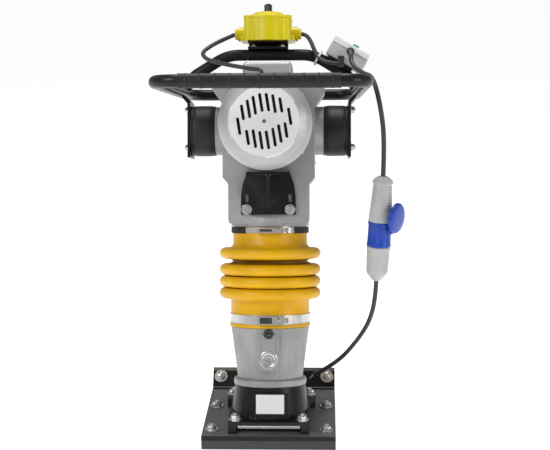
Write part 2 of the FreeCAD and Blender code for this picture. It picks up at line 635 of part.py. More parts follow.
def handle():
    half, near, high = number(d.bar_half), number(d.bar_near), number(d.bar_height)
    far_half, far, far_high = number(d.cross_half), number(d.cross_far), number(d.cross_height)
    route = [(-half, near, high), (half, near, high), (far_half, far, far_high), (-far_half, far, far_high)]
    middle = [(0, near, high)] + route[1:] + [route[0]]
    loop = pipe("handle_loop_tube", middle, d.tube_radius, closed=True, radii=48.0)
    node("handle_loop", loop, LEAN)
    grip = lathe("grip_sleeve", [(d.tube_radius, 0), (d.grip_radius, 0), (d.grip_radius, 300),
                                 (d.tube_radius, 300)], frame(-150, near, high).multiply(ALONG_X))
    node("grip_sleeve", grip, LEAN)
    top, wide, deep = number(d.arch_height), number(d.arch_half), number(d.arch_depth)
    legs = [(-191, deep, 690), (-174, deep, 720), (-wide, deep, top), (wide, deep, top),
            (174, deep, 720), (191, deep, 690)]
    node("arch_tube", fuse("arch_tube", [pipe("arch_tube_run", legs, d.tube_radius, radii=90.0)]
                           + arch_brackets()), LEAN)
    places = []
    for side, label in ((-1, "left"), (1, "right")):
        start = 117.0 if side > 0 else -170.0
        rubber = cylinder("rubber_" + label, d.rubber_radius, d.rubber_length,
                          frame(start, 0, 597).multiply(ALONG_X))
        node("rubber_mount_" + label, rubber, LEAN)
        x, t = number(d.plate_x), number(d.plate_thick)
        edge = [(x, 538), (x + t, 538), (x + t, 654), (191, 672), (186, 676), (x, 659)]
        outline = [(side * u, v) for u, v in edge]
        plate = slab("mount_plate_blank_" + label, outline if side > 0 else outline[::-1], 100,
                     FRONT.multiply(frame(z=-50)))
        node("mount_plate_" + label, plate)
        turn = ALONG_X if side > 0 else frame(axis=Y_AXIS, angle=-90)
        places += [frame(side * (x + t), 0, s).multiply(turn) for s in (561, 643)]
    bolts("mount_bolts", 7.5, 10, 4.0, 20, places, LEAN, 5)


def arch_brackets():
    """Welded carriers for the switch box and the isolator."""
    cx, n, low = number(d.box_x), number(d.arch_depth), number(d.box_low)
    return [box("bracket_saddle", 88, 50, 4.5, frame(cx - 44, n - 25, 779.5)),
            box("bracket_upper", 88, 50, 4, frame(cx - 44, n - 25, low - 4)),
            box("bracket_web", 88, 4, low - 780, frame(cx - 44, n + 21, 780)),
            box("isolator_carrier", 60, 46, 8,
                ISOLATOR_SEAT.multiply(frame(-36, 8, -number(d.isolator_height) / 2 - 8)))]


def switch_box():
    cx, low, high = number(d.box_x), d.box_low, d.box_high
    n = number(d.arch_depth)
    nuts = [frame(cx + x, n - 10, 784) for x in (-31, 31)]
    bolts("bracket_nuts", 6.5, 8.5, 3.5, 3.9, nuts, LEAN, 3)
    tall = high - low
    core = box("switch_core", 84, 78, tall, frame(cx - 42, n - 39, number(low)))
    drum = cylinder("switch_drum", 45, tall, frame(cx, n, number(low)))
    corners = [cylinder("switch_corner_%d" % i, 12, tall, frame(cx + x, n + y, number(low)))
               for i, (x, y) in enumerate(((-40, -30), (40, -30), (-40, 30), (40, 30)))]
    glands = cylinder("switch_ports", 16, 132, frame(cx - 66, n, 814).multiply(ALONG_X))
    feet = box("switch_feet", 118, 60, 12, frame(cx - 59, n - 30, number(low)))
    room = cylinder("switch_room", 37, tall, frame(cx, n, number(low) + 5))
    solid = fuse("switch_solid", [core, drum, glands, feet] + corners)
    node("switch_body", cut("switch_body", solid, [room]), LEAN)
    plate = [cylinder("lid_corner_%d" % i, 13, 6, frame(cx + x, n + y, number(high)))
             for i, (x, y) in enumerate(((-40, -30), (40, -30), (-40, 30), (40, 30)))]
    lid = [cylinder("lid_round", 46, 6, frame(cx, n, number(high))),
           box("lid_plate", 84, 78, 6, frame(cx - 42, n - 39, number(high))),
           cone("lid_dome", 44, 30, 10, frame(cx, n, number(high) + 6))]
    node("switch_lid", fuse("switch_lid", plate + lid), LEAN)
    nuts = []
    for i, x in enumerate((-73.4, 66.0)):
        nuts.append(lathe("gland_nut_%d" % i, [(4.65, 0), (12, 0), (12, 7.4), (4.65, 7.4)],
                          frame(cx + x, n, 814).multiply(ALONG_X)))
    group = doc.addObject("Part::Compound", "switch_glands")
    group.Links = nuts
    node("switch_glands", group, LEAN)
    knob = [cylinder("knob_flange", 11, 4, frame(cx, n, number(high) + 16.2)),
            cone("knob_grip", 7, 5.5, 16, frame(cx, n, number(high) + 20)),
            box("knob_bar", 17, 5, 12, frame(cx - 8.5, n - 2.5, number(high) + 22))]
    node("switch_knob", fuse("switch_knob", knob), LEAN)


def isolator():
    """Grey box with its lid, button and glands on the arch's right leg."""
    long, tall, deep = number(d.isolator_length), number(d.isolator_height), number(d.isolator_depth)
    place = LEAN.multiply(ISOLATOR_SEAT)
    case = box("isolator_shell", d.isolator_length, d.isolator_depth, tall - 14,
               frame(-long / 2, 0, -tall / 2))
    room = box("isolator_room", long - 6, deep - 6, tall, frame(-long / 2 + 3, 3, -tall / 2 + 3))
    node("isolator_case", cut("isolator_case", case, [room]), place)
    lid = box("isolator_lid", long, deep, 14, frame(-long / 2, 0, tall / 2 - 14))
    pocket = box("isolator_pocket", 14.4, 18.4, 12, frame(-1.2, 13.8, tall / 2 - 6))
    node("isolator_lid", cut("isolator_lid_cut", lid, [pocket]), place)
    node("start_button", box("start_button", 14, 18, 8.4, frame(-1, 14, tall / 2 - 2.9)), place)
    group = doc.addObject("Part::Compound", "isolator_glands")
    group.Links = [box("isolator_inlet", 14, 14, 24, frame(148, 0, 737)),
                   cylinder("isolator_gland", 8.5, 8, frame(176, 14, 771, X_AXIS, 90))]
    node("isolator_glands", group, LEAN)


def leads():
    motor_run = [(-79.0, 45, 814), (-108, 42, 801.5), (-133, 34, 787.4), (-150, 14, 771), (-142, -12, 756),
                 (-122, -42, 745), (-87, -80, 733.5), (-53, -118, 724), (-29, -146, 717), (-10, -168, 714.5),
                 (-10, -168, 705.1)]
    box_run = [(68.1, 45, 814), (77, 44.8, 813.6), (88, 40, 800), (96, 30, 779), (104, 22, 759),
               (124, 12, 747), (138, 7, 744), (148, 7, 744)]
    for label, run in (("motor_lead", motor_run), ("isolator_lead", box_run)):
        node(label, pipe(label + "_run", run, d.lead_radius), LEAN)


CORD_TOP = Vector(240, -80, 575)
SUPPLY = [(176.0, 131.1, 813.0), (176, 98.4, 819.9), (176, 76, 790), (200, 22, 776), (219, -50, 778),
          (234, -80, 718), (242.4, -80, 650), (240, -80, 575)]
STUB = [(227.6, -80.0, 352.9), (226.3, -78, 313), (215.5, -55, 255), (189, 0, 192), (146, 58, 122),
        (96, 106, 78)]


def cord_set():
    """Supply lead, coupling with its lid, plug, and the stripped stub lead."""
    node("supply_lead", pipe("supply_run", SUPPLY, d.cord_radius))
    hang = Placement(CORD_TOP, Rotation(Y_AXIS, 3.18))
    nut = lathe("coupling_nut", [(0, -30), (22, -30), (22, -4), (18, 0), (0, 0)])
    body = lathe("coupling_shell", [(0, -95), (25, -95), (d.coupling_radius, -40), (21, -30), (0, -30)])
    node("coupling", fuse("coupling", [nut, body]), hang)
    collar = lathe("collar_ring", [(0, -148), (d.collar_radius, -148), (d.collar_radius, -95), (0, -95)])
    side = frame(axis=Z_AXIS, angle=-30)
    ear = at(box("collar_ear", 7, 16, 12), side.multiply(frame(20.5, -8, -120)))
    node("coupling_collar", fuse("coupling_collar", [collar, ear]), hang)
    disc = lathe("lid_disc", [(0, 0), (32, 0), (32, 5), (26, 9), (0, 10)])
    stem = box("lid_stem", 10, 14, 4, frame(-33, -7, -3.2))
    knuckle = cylinder("lid_knuckle", 2.4, 14, frame(-31, -7, -3.8, X_AXIS, -90))
    lid = fuse("coupling_lid", [disc, stem, knuckle])
    lid.Placement = side.multiply(frame(33.8, 0, -83, Y_AXIS, 90)).multiply(frame(axis=Z_AXIS, angle=180))
    node("coupling_lid", lid, hang)
    plug = lathe("plug_shell", [(0, -222), (9, -222), (22, -206), (d.plug_radius, -160), (23, -148),
                                (0, -148)])
    node("plug", plug, hang)
    node("stub_lead", pipe("stub_run", STUB, d.cord_radius))
    tip = Vector(*STUB[-1])
    heading = (tip - Vector(*STUB[-2])).normalize()
    cores = []
    for i, (side, drop) in enumerate(((-2.2, 0), (1.6, -1.8), (1.6, 1.8))):
        spread = Vector(side * 3, drop, side * 2.4)
        way = (heading * 16 + spread).normalize()
        start = tip + Vector(side * 0.6, drop * 0.5, side * 0.4)
        core = cylinder("core_%d" % i, 1.2, 17 + i, Placement(start, Rotation(Z_AXIS, way)))
        cores.append(core)
    group = doc.addObject("Part::Compound", "stub_cores")
    group.Links = cores
    node("stub_cores", group)


def write_parts():
    doc.recompute()
    faults = [obj.Label for obj in doc.Objects if "Invalid" in obj.State or "Error" in obj.State]
    for label, obj in nodes:
        shape = obj.Shape
        if shape.isNull() or not shape.isValid() or not shape.Solids:
            faults.append(label)
    if faults:
        raise RuntimeError("not valid solids: %s" % ", ".join(faults))
    os.makedirs("parts", exist_ok=True)
    for label, obj in nodes:
        obj.Shape.exportStep("parts/%s.step" % label)
        print("%-22s %2d solids %9.0f mm3" % (label, len(obj.Shape.Solids), obj.Shape.Volume))


for build in (sole, foot, lower_housing, spring_pack, bellows, crankcase, motor_bracket, drive, motor,
              handle, switch_box, isolator, leads, cord_set):
    build()
write_parts()
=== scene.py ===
import json
import logging
import math
from dataclasses import dataclass
from enum import Enum
from typing import Callable, ClassVar, Sequence

import bmesh
import bpy
from mathutils import Matrix, Vector

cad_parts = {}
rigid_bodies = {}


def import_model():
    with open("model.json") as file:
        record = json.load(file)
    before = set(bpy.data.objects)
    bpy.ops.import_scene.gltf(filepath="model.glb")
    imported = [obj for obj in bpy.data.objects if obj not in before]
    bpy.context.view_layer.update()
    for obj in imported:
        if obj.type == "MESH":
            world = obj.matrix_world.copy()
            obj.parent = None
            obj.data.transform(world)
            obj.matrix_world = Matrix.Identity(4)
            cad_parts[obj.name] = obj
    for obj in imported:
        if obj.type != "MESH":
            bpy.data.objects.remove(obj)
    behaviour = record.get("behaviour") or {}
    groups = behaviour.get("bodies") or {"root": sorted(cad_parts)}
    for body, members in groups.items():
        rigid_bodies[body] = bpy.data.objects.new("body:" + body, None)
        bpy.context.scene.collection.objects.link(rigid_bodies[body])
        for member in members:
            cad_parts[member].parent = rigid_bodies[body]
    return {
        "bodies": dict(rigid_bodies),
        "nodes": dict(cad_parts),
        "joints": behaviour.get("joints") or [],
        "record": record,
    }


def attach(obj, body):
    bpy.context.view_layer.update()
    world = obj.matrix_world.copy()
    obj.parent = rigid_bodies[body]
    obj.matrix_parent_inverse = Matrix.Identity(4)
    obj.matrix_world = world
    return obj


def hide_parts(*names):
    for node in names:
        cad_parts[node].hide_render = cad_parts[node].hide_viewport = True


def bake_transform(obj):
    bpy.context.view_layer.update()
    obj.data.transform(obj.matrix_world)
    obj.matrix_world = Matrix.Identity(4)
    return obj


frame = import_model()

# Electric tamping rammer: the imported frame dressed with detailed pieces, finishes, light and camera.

LOG = logging.getLogger("rammer")
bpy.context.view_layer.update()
NODES: dict[str, bpy.types.Object] = frame["nodes"]
MM = 0.001
Colour = tuple[float, float, float]
Point = tuple[float, float, float]
Pair = tuple[float, float]


def place(x: float, y: float, z: float, turns: Sequence[tuple[str, float]] = ()) -> Matrix:
    """Frame at a point in millimetres, turned by (axis, degrees) steps.

    Args:
        x, y, z: Origin of the frame in its parent, in millimetres.
        turns: Rotations applied in order, each about one of the frame's own axes.

    Returns:
        The frame's matrix in millimetres.
    """
    matrix = Matrix.Translation((x, y, z))
    for axis, angle in turns:
        matrix = matrix @ Matrix.Rotation(math.radians(angle), 4, axis)
    return matrix


def turned(axis: str, angle: float) -> Matrix:
    """Frame turned on the spot about one axis, in degrees."""
    return place(0.0, 0.0, 0.0, [(axis, angle)])


def metres(frame: Matrix, spot: Point) -> Point:
    """A point of a frame in millimetres, as metres in the world."""
    return tuple((frame @ Vector(spot)) * MM)


WORLD = Matrix.Identity(4)
TO_METRES = Matrix.Scale(MM, 4)
LEAN = place(0.0, -34.5, 60.0, [("X", -12.0)])
MOTOR = LEAN @ place(0.0, 0.0, 601.0, [("X", 90.0)])
CONNECTOR = place(240.0, -80.0, 575.0, [("Y", 3.18)])
ISOLATOR = LEAN @ place(171.0, 14.0, 766.0, [("Y", 30.0)])


class Body(Enum):
    """The moving bodies that pieces ride on."""

    FOOT = "foot"
    UPPER = "upper_unit"
    HANDLE = "handle"
    KNOB = "knob"
    BUTTON = "button"
    CORD_LID = "cord_lid"


class Surface(Enum):
    """The kinds of fine relief a finish can have."""

    SMOOTH = "smooth"
    CAST = "cast"
    ORANGE_PEEL = "orange_peel"
    BRUSHED = "brushed"
    MOULDED = "moulded"


# ---------------------------------------------------------------- shader graph

class Signal:
    """A shader value whose operators add Math nodes."""

    def __init__(self, graph: "Graph", socket: bpy.types.NodeSocket) -> None:
        """Wraps one output socket of a graph."""
        self.graph = graph
        self.socket = socket

    def _math(self, operation: str, first: object, second: object) -> "Signal":
        """Adds one Math node and wraps its result."""
        return self.graph.add("ShaderNodeMath", {"operation": operation}, {0: first, 1: second})

    def __add__(self, other: object) -> "Signal":
        """self + other."""
        return self._math("ADD", self, other)

    def __mul__(self, other: object) -> "Signal":
        """self * other."""
        return self._math("MULTIPLY", self, other)

    def __rsub__(self, other: object) -> "Signal":
        """other - self."""
        return self._math("SUBTRACT", other, self)

    __radd__ = __add__
    __rmul__ = __mul__


class Graph:
    """Builds one material's node tree."""

    def __init__(self, name: str) -> None:
        """Starts an empty material with an output and one principled shader.

        Args:
            name: The material's name.
        """
        self.material = bpy.data.materials.new(name)
        self.material.use_nodes = True
        self.tree = self.material.node_tree
        self.tree.nodes.clear()
        self.output = self.tree.nodes.new("ShaderNodeOutputMaterial")
        self.shader = self.tree.nodes.new("ShaderNodeBsdfPrincipled")
        self.tree.links.new(self.shader.outputs[0], self.output.inputs[0])
        self.where = self.add("ShaderNodeTexCoord", {}, {}, "Object")

    def add(self, kind: str, settings: dict, inputs: dict, output: int | str = 0) -> Signal:
        """Adds a node.

        Args:
            kind: The node's type.
            settings: Its own properties, set before its sockets.
            inputs: Values or Signals for its input sockets, by name or number.
            output: Which output to hand back.

        Returns:
            The chosen output as a Signal.
        """
        node = self.tree.nodes.new(kind)
        for key, value in settings.items():
            setattr(node, key, value)
        for key, value in inputs.items():
            self.feed(node.inputs[key], value)
        return Signal(self, node.outputs[output])

    def feed(self, socket: bpy.types.NodeSocket, value: object) -> None:
        """Links a Signal to a socket, or sets a plain value on it.

        Args:
            socket: The input socket.
            value: A Signal, a number, a vector or a colour with or without alpha.
        """
        if isinstance(value, Signal):
            self.tree.links.new(value.socket, socket)
        elif socket.type == "RGBA" and len(value) == 3:
            socket.default_value = (*value, 1.0)
        else:
            socket.default_value = value

    def noise(self, scale: float, detail: float = 3.0, rough: float = 0.55,
              stretch: Point = (1.0, 1.0, 1.0)) -> Signal:
        """Noise on the object's own coordinates, scale in features per metre."""
        spot = self.add("ShaderNodeMapping", {}, {"Vector": self.where, "Scale": stretch})
        return self.add("ShaderNodeTexNoise", {}, {"Vector": spot, "Scale": scale, "Detail": detail,
                                                   "Roughness": rough})

    def mix(self, factor: object, first: object, second: object) -> Signal:
        """Mixes two colours by a factor."""
        return self.add("ShaderNodeMix", {"data_type": "RGBA"}, {0: factor, 6: first, 7: second}, 2)

    def span(self, value: Signal, source: Pair, target: Pair = (0.0, 1.0)) -> Signal:
        """Maps a value's range onto another one, clamped."""
        return self.add("ShaderNodeMapRange", {}, {0: value, 1: source[0], 2: source[1],
                                                   3: target[0], 4: target[1]})

    def bump(self, height: Signal, strength: float, distance: float) -> None:
        """Feeds a height to the shader's normal."""
        result = self.add("ShaderNodeBump", {}, {"Height": height, "Strength": strength,
                                                 "Distance": distance})
        self.feed(self.shader.inputs["Normal"], result)

    def set(self, **values: object) -> None:
        """Sets or links the shader's sockets by name, with underscores for spaces."""
        for key, value in values.items():
            self.feed(self.shader.inputs[key.replace("_", " ").title().replace("Ior", "IOR")], value)


@dataclass(frozen=True)
class Finish:
    """One procedural finish; every surface of the object takes one.

    Attributes:
        name: Material name.
        colour: Main colour, linear.
        shade: Second colour that drifts over the surface.
        rough: Roughness at its smoothest and roughest.
        metallic: Metalness.
        surface: Fine relief.
        grime: How much dark dust gathers in patches.
        coat: Clear coat weight.
        relief: Depth of the fine relief in metres.
        dust: Colour of the patches.
        gloss: Specular level.
        RELIEF: Noise of each surface: features per metre, detail, roughness and stretch.
        FINE_CAST: Features per metre of the finer grain on castings.
        DRIFT, FINE: Features per metre of the slow and the fast change over a finish.
    """

    RELIEF: ClassVar[dict[Surface, tuple[float, float, float, Point]]] = {
        Surface.SMOOTH: (90.0, 2.0, 0.4, (1.0, 1.0, 1.0)),
        Surface.CAST: (420.0, 4.0, 0.6, (1.0, 1.0, 1.0)),
        Surface.ORANGE_PEEL: (260.0, 1.5, 0.4, (1.0, 1.0, 1.0)),
        Surface.BRUSHED: (900.0, 3.0, 0.6, (1.0, 1.0, 0.06)),
        Surface.MOULDED: (700.0, 2.0, 0.5, (1.0, 1.0, 1.0))}
    FINE_CAST: ClassVar[float] = 1400.0
    DRIFT: ClassVar[float] = 14.0
    FINE: ClassVar[float] = 160.0

    name: str
    colour: Colour
    shade: Colour
    rough: tuple[float, float] = (0.4, 0.55)
    metallic: float = 0.0
    surface: Surface = Surface.SMOOTH
    grime: float = 0.1
    coat: float = 0.0
    relief: float = 0.0002
    dust: Colour = (0.20, 0.19, 0.17)
    gloss: float = 0.5

    def height(self, graph: Graph) -> Signal:
        """Relief for this kind of surface.

        Args:
            graph: The material's graph.

        Returns:
            The height, from 0 to 1.
        """
        coarse = graph.noise(*self.RELIEF[self.surface])
        if self.surface is not Surface.CAST:
            return coarse
        return coarse * 0.7 + graph.noise(self.FINE_CAST, 2.0) * 0.3

    def make(self) -> bpy.types.Material:
        """Builds the material.

        Returns:
            The finished material.
        """
        graph = Graph(self.name)
        drift = graph.noise(self.DRIFT, 3.0, 0.5)
        fine = graph.noise(self.FINE, 5.0, 0.6)
        base = graph.mix(graph.span(drift, (0.35, 0.65)), self.colour, self.shade)
        patches = graph.span(drift * 0.6 + fine * 0.4, (0.52, 0.72), (0.0, self.grime))
        graph.set(base_color=graph.mix(patches, base, self.dust), metallic=self.metallic,
                  coat_weight=self.coat, coat_roughness=0.12, specular_ior_level=self.gloss)
        graph.set(roughness=graph.span(fine * 0.6 + drift * 0.4, (0.3, 0.7), self.rough))
        graph.bump(self.height(graph), 0.6, self.relief)
        return graph.material


class Finishes:
    """The object's finishes, made once each."""

    CAST_SILVER = Finish("cast_silver", (0.31, 0.31, 0.312), (0.25, 0.25, 0.252), (0.4, 0.56), 0.4,
                         Surface.CAST, 0.12, 0.0, 0.00035)
    COWL_SILVER = Finish("cowl_silver", (0.40, 0.40, 0.402), (0.34, 0.34, 0.342), (0.42, 0.55), 0.5,
                         Surface.ORANGE_PEEL, 0.05, 0.0, 0.00012)
    BLACK_PAINT = Finish("black_paint", (0.006, 0.006, 0.0065), (0.01, 0.01, 0.0105), (0.26, 0.4), 0.0,
                         Surface.ORANGE_PEEL, 0.04, 0.05, 0.0001, (0.02, 0.02, 0.02), 0.18)
    PLATE_PAINT = Finish("plate_paint", (0.125, 0.125, 0.127), (0.085, 0.085, 0.087), (0.35, 0.55), 0.2,
                         Surface.CAST, 0.25, 0.0, 0.0002, (0.16, 0.16, 0.155))
    SOLE_PAD = Finish("sole_pad", (0.032, 0.032, 0.034), (0.024, 0.024, 0.026), (0.5, 0.7), 0.0,
                      Surface.MOULDED, 0.3, 0.0, 0.0003, (0.13, 0.13, 0.125))
    ZINC = Finish("zinc_plate", (0.60, 0.60, 0.58), (0.50, 0.50, 0.485), (0.2, 0.38), 0.95,
                  Surface.BRUSHED, 0.12, 0.0, 0.00006, (0.25, 0.23, 0.2))
    BRIGHT = Finish("machined_steel", (0.55, 0.55, 0.56), (0.48, 0.48, 0.49), (0.22, 0.36), 1.0,
                    Surface.BRUSHED, 0.08, 0.0, 0.00005)
    YELLOW_RUBBER = Finish("yellow_bellows", (0.66, 0.36, 0.0), (0.58, 0.31, 0.0), (0.34, 0.46), 0.0,
                           Surface.SMOOTH, 0.12, 0.03, 0.0002, (0.40, 0.23, 0.01), 0.28)
    # Painted shade: a darker copy of the bellows rubber for the inner folds between the rings.
    FOLD_SHADE = Finish("bellows_folds", (0.30, 0.16, 0.0), (0.22, 0.12, 0.0), (0.4, 0.55), 0.0,
                        Surface.SMOOTH, 0.3, 0.0, 0.0002, (0.10, 0.06, 0.01))
    YELLOW_CAST = Finish("yellow_enamel", (0.60, 0.50, 0.0), (0.54, 0.44, 0.0), (0.28, 0.42), 0.0,
                         Surface.ORANGE_PEEL, 0.08, 0.05, 0.0002, (0.34, 0.27, 0.01), 0.3)
    BLACK_RUBBER = Finish("black_rubber", (0.008, 0.008, 0.0085), (0.014, 0.014, 0.0145), (0.4, 0.55), 0.0,
                          Surface.MOULDED, 0.15, 0.0, 0.00015, (0.03, 0.03, 0.03), 0.24)
    CABLE = Finish("cable_jacket", (0.022, 0.023, 0.025), (0.034, 0.034, 0.036), (0.38, 0.5), 0.0,
                   Surface.MOULDED, 0.1, 0.0, 0.00008, (0.06, 0.06, 0.06), 0.35)
    EDGE_GREY = Finish("worn_edge", (0.12, 0.12, 0.12), (0.08, 0.08, 0.08), (0.35, 0.5), 0.3,
                       Surface.BRUSHED, 0.3, 0.0, 0.0001)
    # Painted highlight: a lighter copy of the cowl's silver for its flat face, standing for the light that
    # falls on it.
    COWL_FACE_HIGHLIGHT = Finish("cowl_disc", (0.66, 0.66, 0.662), (0.60, 0.60, 0.602), (0.4, 0.5), 0.25,
                       Surface.ORANGE_PEEL, 0.05, 0.05, 0.0001)
    LABEL = Finish("data_plate", (0.62, 0.62, 0.63), (0.58, 0.58, 0.59), (0.25, 0.35), 0.0,
                   Surface.SMOOTH, 0.03, 0.3, 0.00005, (0.6, 0.6, 0.6))
    GREY_PLASTIC = Finish("grey_plastic", (0.40, 0.40, 0.395), (0.35, 0.35, 0.345), (0.34, 0.46), 0.0,
                          Surface.MOULDED, 0.06, 0.0, 0.0001, (0.28, 0.28, 0.27))
    WHITE_PLASTIC = Finish("white_plastic", (0.64, 0.645, 0.645), (0.58, 0.585, 0.585), (0.3, 0.42), 0.0,
                           Surface.MOULDED, 0.04, 0.0, 0.0001, (0.5, 0.5, 0.5))
    BLUE_PLASTIC = Finish("blue_plastic", (0.006, 0.045, 0.34), (0.005, 0.038, 0.29), (0.26, 0.38), 0.0,
                          Surface.MOULDED, 0.04, 0.04, 0.0001, (0.03, 0.07, 0.28), 0.35)
    GREEN_PLASTIC = Finish("green_plastic", (0.02, 0.30, 0.21), (0.02, 0.25, 0.18), (0.2, 0.3), 0.0,
                           Surface.SMOOTH, 0.03, 0.2, 0.00005, (0.1, 0.3, 0.25))
    BLACK_PLASTIC = Finish("black_plastic", (0.016, 0.016, 0.017), (0.024, 0.024, 0.025), (0.32, 0.45), 0.0,
                           Surface.MOULDED, 0.06, 0.0, 0.0001, (0.08, 0.08, 0.08))
    COPPER = Finish("stranded_copper", (0.72, 0.62, 0.52), (0.74, 0.72, 0.70), (0.3, 0.45), 0.5,
                    Surface.BRUSHED, 0.05, 0.0, 0.0001)
    SPRING = Finish("spring_steel", (0.05, 0.08, 0.06), (0.07, 0.10, 0.08), (0.3, 0.42), 0.4,
                    Surface.ORANGE_PEEL, 0.08, 0.0, 0.0001)
    WINDING = Finish("motor_laminations", (0.20, 0.13, 0.09), (0.26, 0.2, 0.16), (0.4, 0.55), 0.5,
                     Surface.BRUSHED, 0.1, 0.0, 0.0002)
    GLASS_RIM = Finish("sight_rim", (0.50, 0.50, 0.50), (0.44, 0.44, 0.44), (0.25, 0.4), 0.7,
                       Surface.BRUSHED, 0.12, 0.0, 0.00008)

    _made: dict[str, bpy.types.Material] = {}

    @classmethod
    def get(cls, finish: Finish) -> bpy.types.Material:
        """The finish's material, made on first use."""
        if finish.name not in cls._made:
            cls._made[finish.name] = finish.make()
        return cls._made[finish.name]


# ---------------------------------------------------------------- mesh helpers

WELD = 0.0005       # points closer than this, in millimetres, are one
SHARP = 32.0        # edges sharper than this, in degrees, are rounded
CREASE = 34.0       # a CAD node's copy shades sharp past this angle
FLAT = 0.6          # its faces within this angle are merged

class Shape:
    """A mesh under construction, in millimetres in one frame."""

    def __init__(self, frame: Matrix = WORLD) -> None:
        """Starts an empty shape in a frame."""
        self.frame = frame
        self.mesh = bmesh.new()

    def ring_stack(self, rings: Sequence[Sequence[Point]], closed: bool = False) -> None:
        """Skins rings of equal length, one after another.

        Args:
            rings: Each ring's points, all of one length.
            closed: True joins the last ring back to the first; False closes both ends with a face.
        """
        rows = [[self.mesh.verts.new(p) for p in ring] for ring in rings]
        count = len(rows[0])
        pairs = list(zip(rows, rows[1:] + rows[:1])) if closed else list(zip(rows, rows[1:]))
        for low, high in pairs:
            for i in range(count):
                j = (i + 1) % count
                self.mesh.faces.new((low[i], low[j], high[j], high[i]))
        if not closed:
            self.mesh.faces.new(list(reversed(rows[0])))
            self.mesh.faces.new(rows[-1])

    def lathe(self, profile: Sequence[Pair], steps: int = 96, at: Matrix = WORLD,
              warp: Callable[[float, float, float], float] | None = None) -> None:
        """Turns (radius, height) corners about the frame's Z into a closed ring section.

        Args:
            profile: Pairs of the half section, which closes on itself.
            steps: Faces round the axis.
            at: Where the part sits in the shape's frame.
            warp: Optional change of radius as f(angle, radius, height).
        """
        rings = []
        for radius, height in profile:
            ring = []
            for k in range(steps):
                a = 2 * math.pi * k / steps
                r = warp(a, radius, height) if warp else radius
                ring.append(at @ Vector((r * math.cos(a), r * math.sin(a), height)))
            rings.append(ring)
        self.ring_stack(rings, True)

    def prism(self, outline: Sequence[Pair], low: float, high: float, at: Matrix = WORLD) -> None:
        """Extrudes an XY outline from low to high."""
        self.ring_stack([[at @ Vector((x, y, z)) for x, y in outline] for z in (low, high)])

    def block(self, size: Point, at: Matrix = WORLD) -> None:
        """A box centred on its frame."""
        x, y, z = (s / 2 for s in size)
        self.prism([(-x, -y), (x, -y), (x, y), (-x, y)], -z, z, at)

    def tube(self, path: Sequence[Vector], radius: float, sides: int = 20, closed: bool = False) -> None:
        """Sweeps a circle along a path without twist.

        Args:
            path: Points in the shape's frame.
            radius: Tube radius.
            sides: Faces round the tube.
            closed: True joins the ends.
        """
        count = len(path)
        rings = []
        up = Vector((0.3, 0.2, 0.9)).normalized()
        for i, spot in enumerate(path):
            after = path[(i + 1) % count] if closed or i + 1 < count else spot
            before = path[i - 1] if closed or i else spot
            along = (after - before).normalized()
            side = up.cross(along).normalized()
            up = along.cross(side).normalized()
            rings.append([spot + (side * math.cos(a) + up * math.sin(a)) * radius
                          for a in (2 * math.pi * k / sides for k in range(sides))])
        self.ring_stack(rings, closed)

    def data(self, name: str, weld: bool = False) -> bpy.types.Mesh:
        """Ends the shape as a mesh in metres in the world.

        Args:
            name: The mesh's name.
            weld: True merges points that lie on each other.

        Returns:
            The mesh, with its faces outwards.
        """
        if weld:
            bmesh.ops.remove_doubles(self.mesh, verts=self.mesh.verts, dist=WELD)
        bmesh.ops.recalc_face_normals(self.mesh, faces=self.mesh.faces)
        data = bpy.data.meshes.new(name)
        self.mesh.to_mesh(data)
        self.mesh.free()
        data.transform(TO_METRES @ self.frame)
        return data

    def finish(self, name: str, body: Body, finish: Finish, replaces: Sequence[str] = (),
               slot: str | None = None, bevel: float = 0.0, smooth: float = 38.0) -> bpy.types.Object:
        """Turns the shape into a piece that rides on a body.

        Args:
            name: Piece name.
            body: The body it rides on.
            finish: Its finish.
            replaces: CAD nodes that it stands for.
            slot: Material slot of the record; not used.
            bevel: Edge rounding in millimetres.
            smooth: Angle in degrees up to which shading is smooth.

        Returns:
            The piece's object.
        """
        piece = bpy.data.objects.new(name, self.data(name, True))
        return dress(piece, body, finish, replaces, bevel, smooth)


def dress(obj: bpy.types.Object, body: Body | None, finish: Finish, replaces: Sequence[str] = (),
          bevel: float = 0.0, smooth: float = 38.0,
          segments: int = 3) -> bpy.types.Object:
    """Paints, shades and rounds one mesh object as a piece, and sets it on its body.

    Args:
        obj: The object, not linked yet.
        body: The body it rides on, or None for a piece on no body.
        finish: Its finish.
        replaces: CAD nodes that it stands for.
        bevel: Edge rounding in millimetres.
        smooth: Angle in degrees up to which shading is smooth.
        segments: Steps in the edge rounding.

    Returns:
        The same object.
    """
    bpy.context.scene.collection.objects.link(obj)
    paint(obj, finish)
    obj.data.shade_smooth()
    obj.data.set_sharp_from_angle(angle=math.radians(smooth))
    if bevel:
        rounding = obj.modifiers.new("edges", "BEVEL")
        rounding.width = bevel * MM
        rounding.segments = segments
        rounding.limit_method = "ANGLE"
        rounding.angle_limit = math.radians(SHARP)
        rounding.harden_normals = True
        rounding.use_clamp_overlap = True
    if body is not None:
        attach(obj, body.value)
    if replaces:
        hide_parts(*replaces)
    LOG.info("piece %s on %s", obj.name, body.value if body else "two bodies")
    return obj


def paint(obj: bpy.types.Object, finish: Finish) -> None:
    """Gives an object one finish in place of any it has."""
    obj.data.materials.clear()
    obj.data.materials.append(Finishes.get(finish))


def paint_faces(obj: bpy.types.Object, finish: Finish, chosen: Callable[[Vector, Vector], bool],
                frame: Matrix = WORLD) -> None:
    """Gives some faces of a piece a second finish.

    Args:
        obj: The piece.
        finish: The second finish.
        chosen: Test of a face's centre, in millimetres in the frame, and its world normal.
        frame: The frame of the test.
    """
    obj.data.materials.append(Finishes.get(finish))
    back = (TO_METRES @ frame).inverted()
    for face in obj.data.polygons:
        face.material_index = int(chosen(back @ face.center, face.normal))


